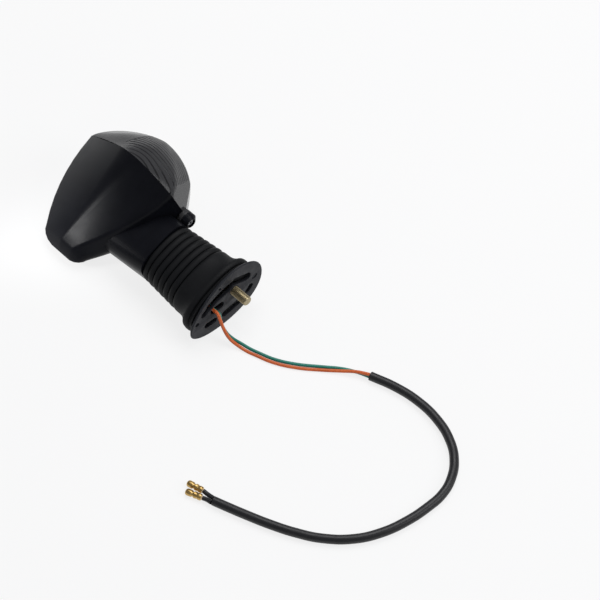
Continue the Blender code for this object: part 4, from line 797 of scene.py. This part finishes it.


# Housing, plate and screw: the CAD shapes shaded smooth, with the plate's edges eased


def make_shells():
    housing = tidy(copy_of("housing", "housing_shell"), 32.0)
    wear(housing, abs_black, "head", ["housing"])
    plate = copy_of("mounting_plate", "plate_moulding")
    applied(plate, "BEVEL", width=0.3 * MM, segments=2, limit_method="ANGLE", angle_limit=math.radians(50))
    wear(tidy(plate, 40.0), nylon, "base", ["mounting_plate"])
    screw = tidy(copy_of("lens_screw", "lens_screw_steel"))
    wear(screw, steel, "head", ["lens_screw"])


make_shells()


# Lens: a dome on the pod's rounded mouth, with a flat inboard end and fine flutes between the end and a dividing line

TIP_X = -147.4
RIM_X = -61.2
MIDDLE_X = (TIP_X + RIM_X) / 2
SEAM_Y = 27.3
SEAM_BOW = 3.4
MOUTH_TOP = 30.41
LENS_HEIGHT = 22.8
SIDE_DROP = 3.0
LENS_GAP = 0.05
DIVIDE_X = -112.0
FLUTE_PITCH = 2.4
FLUTE_DEPTH = 0.5


def seam(x):
    """Depth of the bowed seam between lens and housing."""
    return SEAM_Y - SEAM_BOW * ((x - MIDDLE_X) / ((RIM_X - TIP_X) / 2)) ** 2


def mouth_outline():
    """The pod's six-sided mouth with its corners rounded, just inside the housing's edge, as (x, z) points."""
    corners = [(TIP_X, 0.0), (-98.0, 30.41), (RIM_X, 22.41), (-59.2, 0.0), (-64.2, -18.01), (-98.0, -30.41)]
    corners = [Vector((x, 0.0, z)) for x, z in corners]
    points = []
    for number, radius in enumerate((2.0, 34.0, 4.0, 8.0, 4.0, 34.0)):
        here = corners[number]
        back = corners[number - 1] - here
        ahead = corners[(number + 1) % 6] - here
        half = back.angle(ahead) / 2
        reach = min(radius / math.tan(half), 0.45 * back.length, 0.45 * ahead.length)
        middle = here + (back.normalized() + ahead.normalized()).normalized() * reach / math.cos(half)
        first = here + back.normalized() * reach - middle
        last = here + ahead.normalized() * reach - middle
        start = math.atan2(first.z, first.x)
        sweep = math.atan2(first.x * last.z - first.z * last.x, first.dot(last))
        for step in range(13):
            turn = start + sweep * step / 12
            points.append(middle + Vector((math.cos(turn), 0.0, math.sin(turn))) * first.length)
    top = max(point.z for point in points)
    bottom = -min(point.z for point in points)
    outline = []
    for point in points:
        point.z *= MOUTH_TOP / (top if point.z > 0 else bottom)
        inward = Vector((MIDDLE_X, 0.0, 0.0)) - point
        point += inward.normalized() * 0.3
        outline.append((point.x, point.z))
    return outline


def crossings(outline, z):
    """Lowest and highest x of the outline at one height."""
    found = []
    for (x0, z0), (x1, z1) in zip(outline, outline[1:] + outline[:1]):
        if (z0 - z) * (z1 - z) <= 0 and z0 != z1:
            found.append(x0 + (x1 - x0) * (z - z0) / (z1 - z0))
    return min(found), max(found)


def reach_to(outline, ray):
    """Distance from the middle of the mouth to its outline along a ray."""
    best = 0.0
    for (x0, z0), (x1, z1) in zip(outline, outline[1:] + outline[:1]):
        sx, sz = x1 - x0, z1 - z0
        cross = ray[0] * sz - ray[1] * sx
        if abs(cross) > 1e-9:
            far = ((x0 - MIDDLE_X) * sz - z0 * sx) / cross
            along = ((x0 - MIDDLE_X) * ray[1] - z0 * ray[0]) / cross
            if far > 0 and -1e-6 <= along <= 1 + 1e-6:
                best = max(best, far)
    return best


def dome(outline, x, z):
    """Depth of the lens's dome: its contours pass from the mouth's outline to an oval at the top."""
    here = math.hypot(x - MIDDLE_X, z)
    if here < 1e-6:
        return SEAM_Y + LENS_GAP + LENS_HEIGHT
    ray = ((x - MIDDLE_X) / here, z / here)
    far = reach_to(outline, ray)
    oval = 1 / math.hypot(ray[0] / ((RIM_X + 2.0 - TIP_X) / 2), ray[1] / MOUTH_TOP)
    curve = far - oval
    share = here / far
    if abs(curve) > 1e-6:
        share = (math.sqrt(max(0.0, oval**2 + 4 * curve * here)) - oval) / (2 * curve)
    share = min(1.0, share)
    rise = LENS_HEIGHT * (1 - share**2) ** (0.7 + 0.45 * ray[1] ** 2) * (1 + 0.18 * ray[0] * share)
    # The long sides are flatter than a dome and meet in a soft ridge
    upright = max(abs(height) for height in crossings([(b, a) for a, b in outline], x))
    rise -= SIDE_DROP * math.sin(math.pi * min(1.0, abs(z) / upright)) * (1 - share**2)
    return (seam(MIDDLE_X + ray[0] * far) + LENS_GAP) * share + (SEAM_Y + LENS_GAP) * (1 - share) + rise


def end_facet(x, z):
    """Depth of the flat inboard end, which leans 1.4 to 1 from the seam and falls away below."""
    return seam(RIM_X) + 0.2 + 1.4 * (RIM_X - x) + 0.55 * min(0.0, z + 2.0)


def meeting(low, high, gap):
    """Where a gap that starts below zero rises through it, or the far end."""
    if gap(high) <= 0:
        return high
    for _ in range(30):
        middle = (low + high) / 2
        if gap(middle) > 0:
            high = middle
        else:
            low = middle
    return high


def make_lens():
    outline = mouth_outline()
    tallest = max(z for _, z in outline) - 0.05
    # Rows stand closer together at each flute, and a column follows each edge of the end facet
    heights = []
    for flute in range(-13, 13):
        for part in (0.0, 0.08, 0.16, 0.3, 0.5, 0.7, 0.84, 0.92):
            heights.append((flute + part) * FLUTE_PITCH)
    counts = (28, 1, 1, 56, 1, 1, 12, 3)
    lines = []
    for z in heights:
        flute = abs(z / FLUTE_PITCH - round(z / FLUTE_PITCH))
        cut = FLUTE_DEPTH * max(0.0, 1 - flute / 0.16)
        z = max(-tallest, min(tallest, z))
        low, high = crossings(outline, z)
        crease = meeting(max(low, MIDDLE_X), high, lambda x: dome(outline, x, z) - end_facet(x, z))
        lip = meeting(crease, high, lambda x: seam(x) + LENS_GAP - end_facet(x, z))
        knots = [low, DIVIDE_X - 0.4, DIVIDE_X, DIVIDE_X + 0.4, crease - 0.5, crease, crease + 0.4, lip]
        knots = [max(low, min(knot, crease if number < 6 else lip)) for number, knot in enumerate(knots)]
        # Above the middle the lens ends with its facet; below, a lip runs on to the rim
        knots.append(lip + (high - lip) * max(0.0, min(1.0, (-3.0 - z) / 3.0)))
        line = []
        for part, count in enumerate(counts):
            for step in range(count + (part == len(counts) - 1)):
                share = (step / count) ** (1.7 if part == 0 else 1.0)
                x = knots[part] + (knots[part + 1] - knots[part]) * share
                y = min(dome(outline, x, z), max(end_facet(x, z), seam(x) + LENS_GAP))
                above = min(1.0, max(0.0, (y - seam(x) - 3.0) / 5.0))
                fluted = min(1.0, max(0.0, x - DIVIDE_X - 0.6)) * min(1.0, max(0.0, crease - 0.6 - x))
                y -= cut * above * fluted
                if part in (2, 5) and step == 0:
                    y -= FLUTE_DEPTH * above
                line.append((x, y, z))
        lines.append(line)
    lens = draped("lens_smoked", len(lines) - 1, len(lines[0]) - 1, lambda row, column: lines[row][column])
    everything(lens)
    bpy.ops.mesh.remove_doubles(threshold=0.002 * MM)
    bpy.ops.mesh.normals_make_consistent(inside=False)
    pick(lens)
    if sum(face.normal.y for face in lens.data.polygons) < 0:
        everything(lens)
        bpy.ops.mesh.flip_normals()
        pick(lens)
    applied(lens, "SOLIDIFY", thickness=2.0 * MM, offset=-1.0)
    wear(placed(tidy(lens, 30.0)), acrylic, "head", ["lens"])
    # Ear under the housing's boss, with a web into the lens
    ear = turned("lens_ear", [(-60.4, 0.0), (-60.4, 4.8), (-60.0, 5.2), (-57.5, 5.2), (-57.1, 4.8), (-57.1, 0.0)], 48)
    joined(ear, turned("screw_hole", [(-61.0, 0.0), (-61.0, 1.8), (-56.5, 1.8), (-56.5, 0.0)], 32), "DIFFERENCE")
    moved(ear, (0.0, 22.0, 0.0))
    web_y = seam(RIM_X)
    joined(ear, block("ear_web", (-63.6, web_y + 0.6, -3.0), (-57.1, web_y + 2.6, 3.0)))
    wear(placed(tidy(ear)), acrylic, "head", ())


make_lens()


# Stage: white table, soft light


def make_stage():
    pick()
    bpy.ops.mesh.primitive_plane_add(size=6.0, location=(0.0, 0.0, TABLE - 0.05 * MM))
    table = named("white_table")
    made, tree, coords = finish("white_table_paint")
    # Cloudy paint over 400 mm; most of what the camera sees is plain white, the rest keeps the shadow
    drift = add(tree, "ShaderNodeTexNoise", {"Vector": coords, "Scale": 2.5, "Detail": 2.0})
    tone = add(tree, "ShaderNodeMix", {0: drift.outputs[0], 6: linear("f4f4f4"), 7: linear("f8f8f8")}, data_type="RGBA")
    paint = add(tree, "ShaderNodeBsdfPrincipled", {
        "Base Color": tone.outputs[2], "Roughness": 0.9, "Specular IOR Level": 0.1,
    })
    path = add(tree, "ShaderNodeLightPath")
    seen = add(tree, "ShaderNodeMath", {0: path.outputs["Is Camera Ray"], 1: path.outputs["Is Glossy Ray"]},
               operation="MAXIMUM")
    seen = add(tree, "ShaderNodeMath", {0: seen.outputs[0], 1: path.outputs["Is Transmission Ray"]},
               operation="MAXIMUM")
    part = add(tree, "ShaderNodeMath", {0: seen.outputs[0], 1: 0.8}, operation="MULTIPLY")
    white = add(tree, "ShaderNodeEmission", {"Color": (1, 1, 1, 1), "Strength": 1.0})
    both = add(tree, "ShaderNodeMixShader", {0: part.outputs[0], 1: paint.outputs[0], 2: white.outputs[0]})
    add(tree, "ShaderNodeOutputMaterial", {"Surface": both.outputs[0]})
    table.data.materials.append(made)

    world = bpy.data.worlds.new("soft_room")
    bpy.context.scene.world = world
    world.use_nodes = True
    world.node_tree.nodes["Background"].inputs["Color"].default_value = linear("f4f6ff")
    world.node_tree.nodes["Background"].inputs["Strength"].default_value = 0.3
    # (name, place, aim, size, power, spread in degrees)
    for name, place, aim, size, power, spread in (
        ("nose_soft_box", (-0.18, -0.143, 0.078), (-0.12, -0.036, -0.005), 0.045, 0.009, 32),
        ("top_soft_box", (-0.2, 0.5, 1.2), (0.0, 0.0, 0.0), 0.9, 9.0, 180),
        ("right_soft_box", (0.9, 0.5, 0.7), (0.0, 0.0, 0.0), 0.6, 4.0, 180),
    ):
        pick()
        bpy.ops.object.light_add(type="AREA", location=place)
        lamp = named(name)
        lamp.data.size = size
        lamp.data.energy = power
        lamp.data.spread = math.radians(spread)
        lamp.rotation_mode = "QUATERNION"
        lamp.rotation_quaternion = (Vector(aim) - Vector(place)).to_track_quat("-Z", "Y")
        lamp.visible_camera = False


make_stage()
bpy.context.scene.view_settings.view_transform = "Standard"
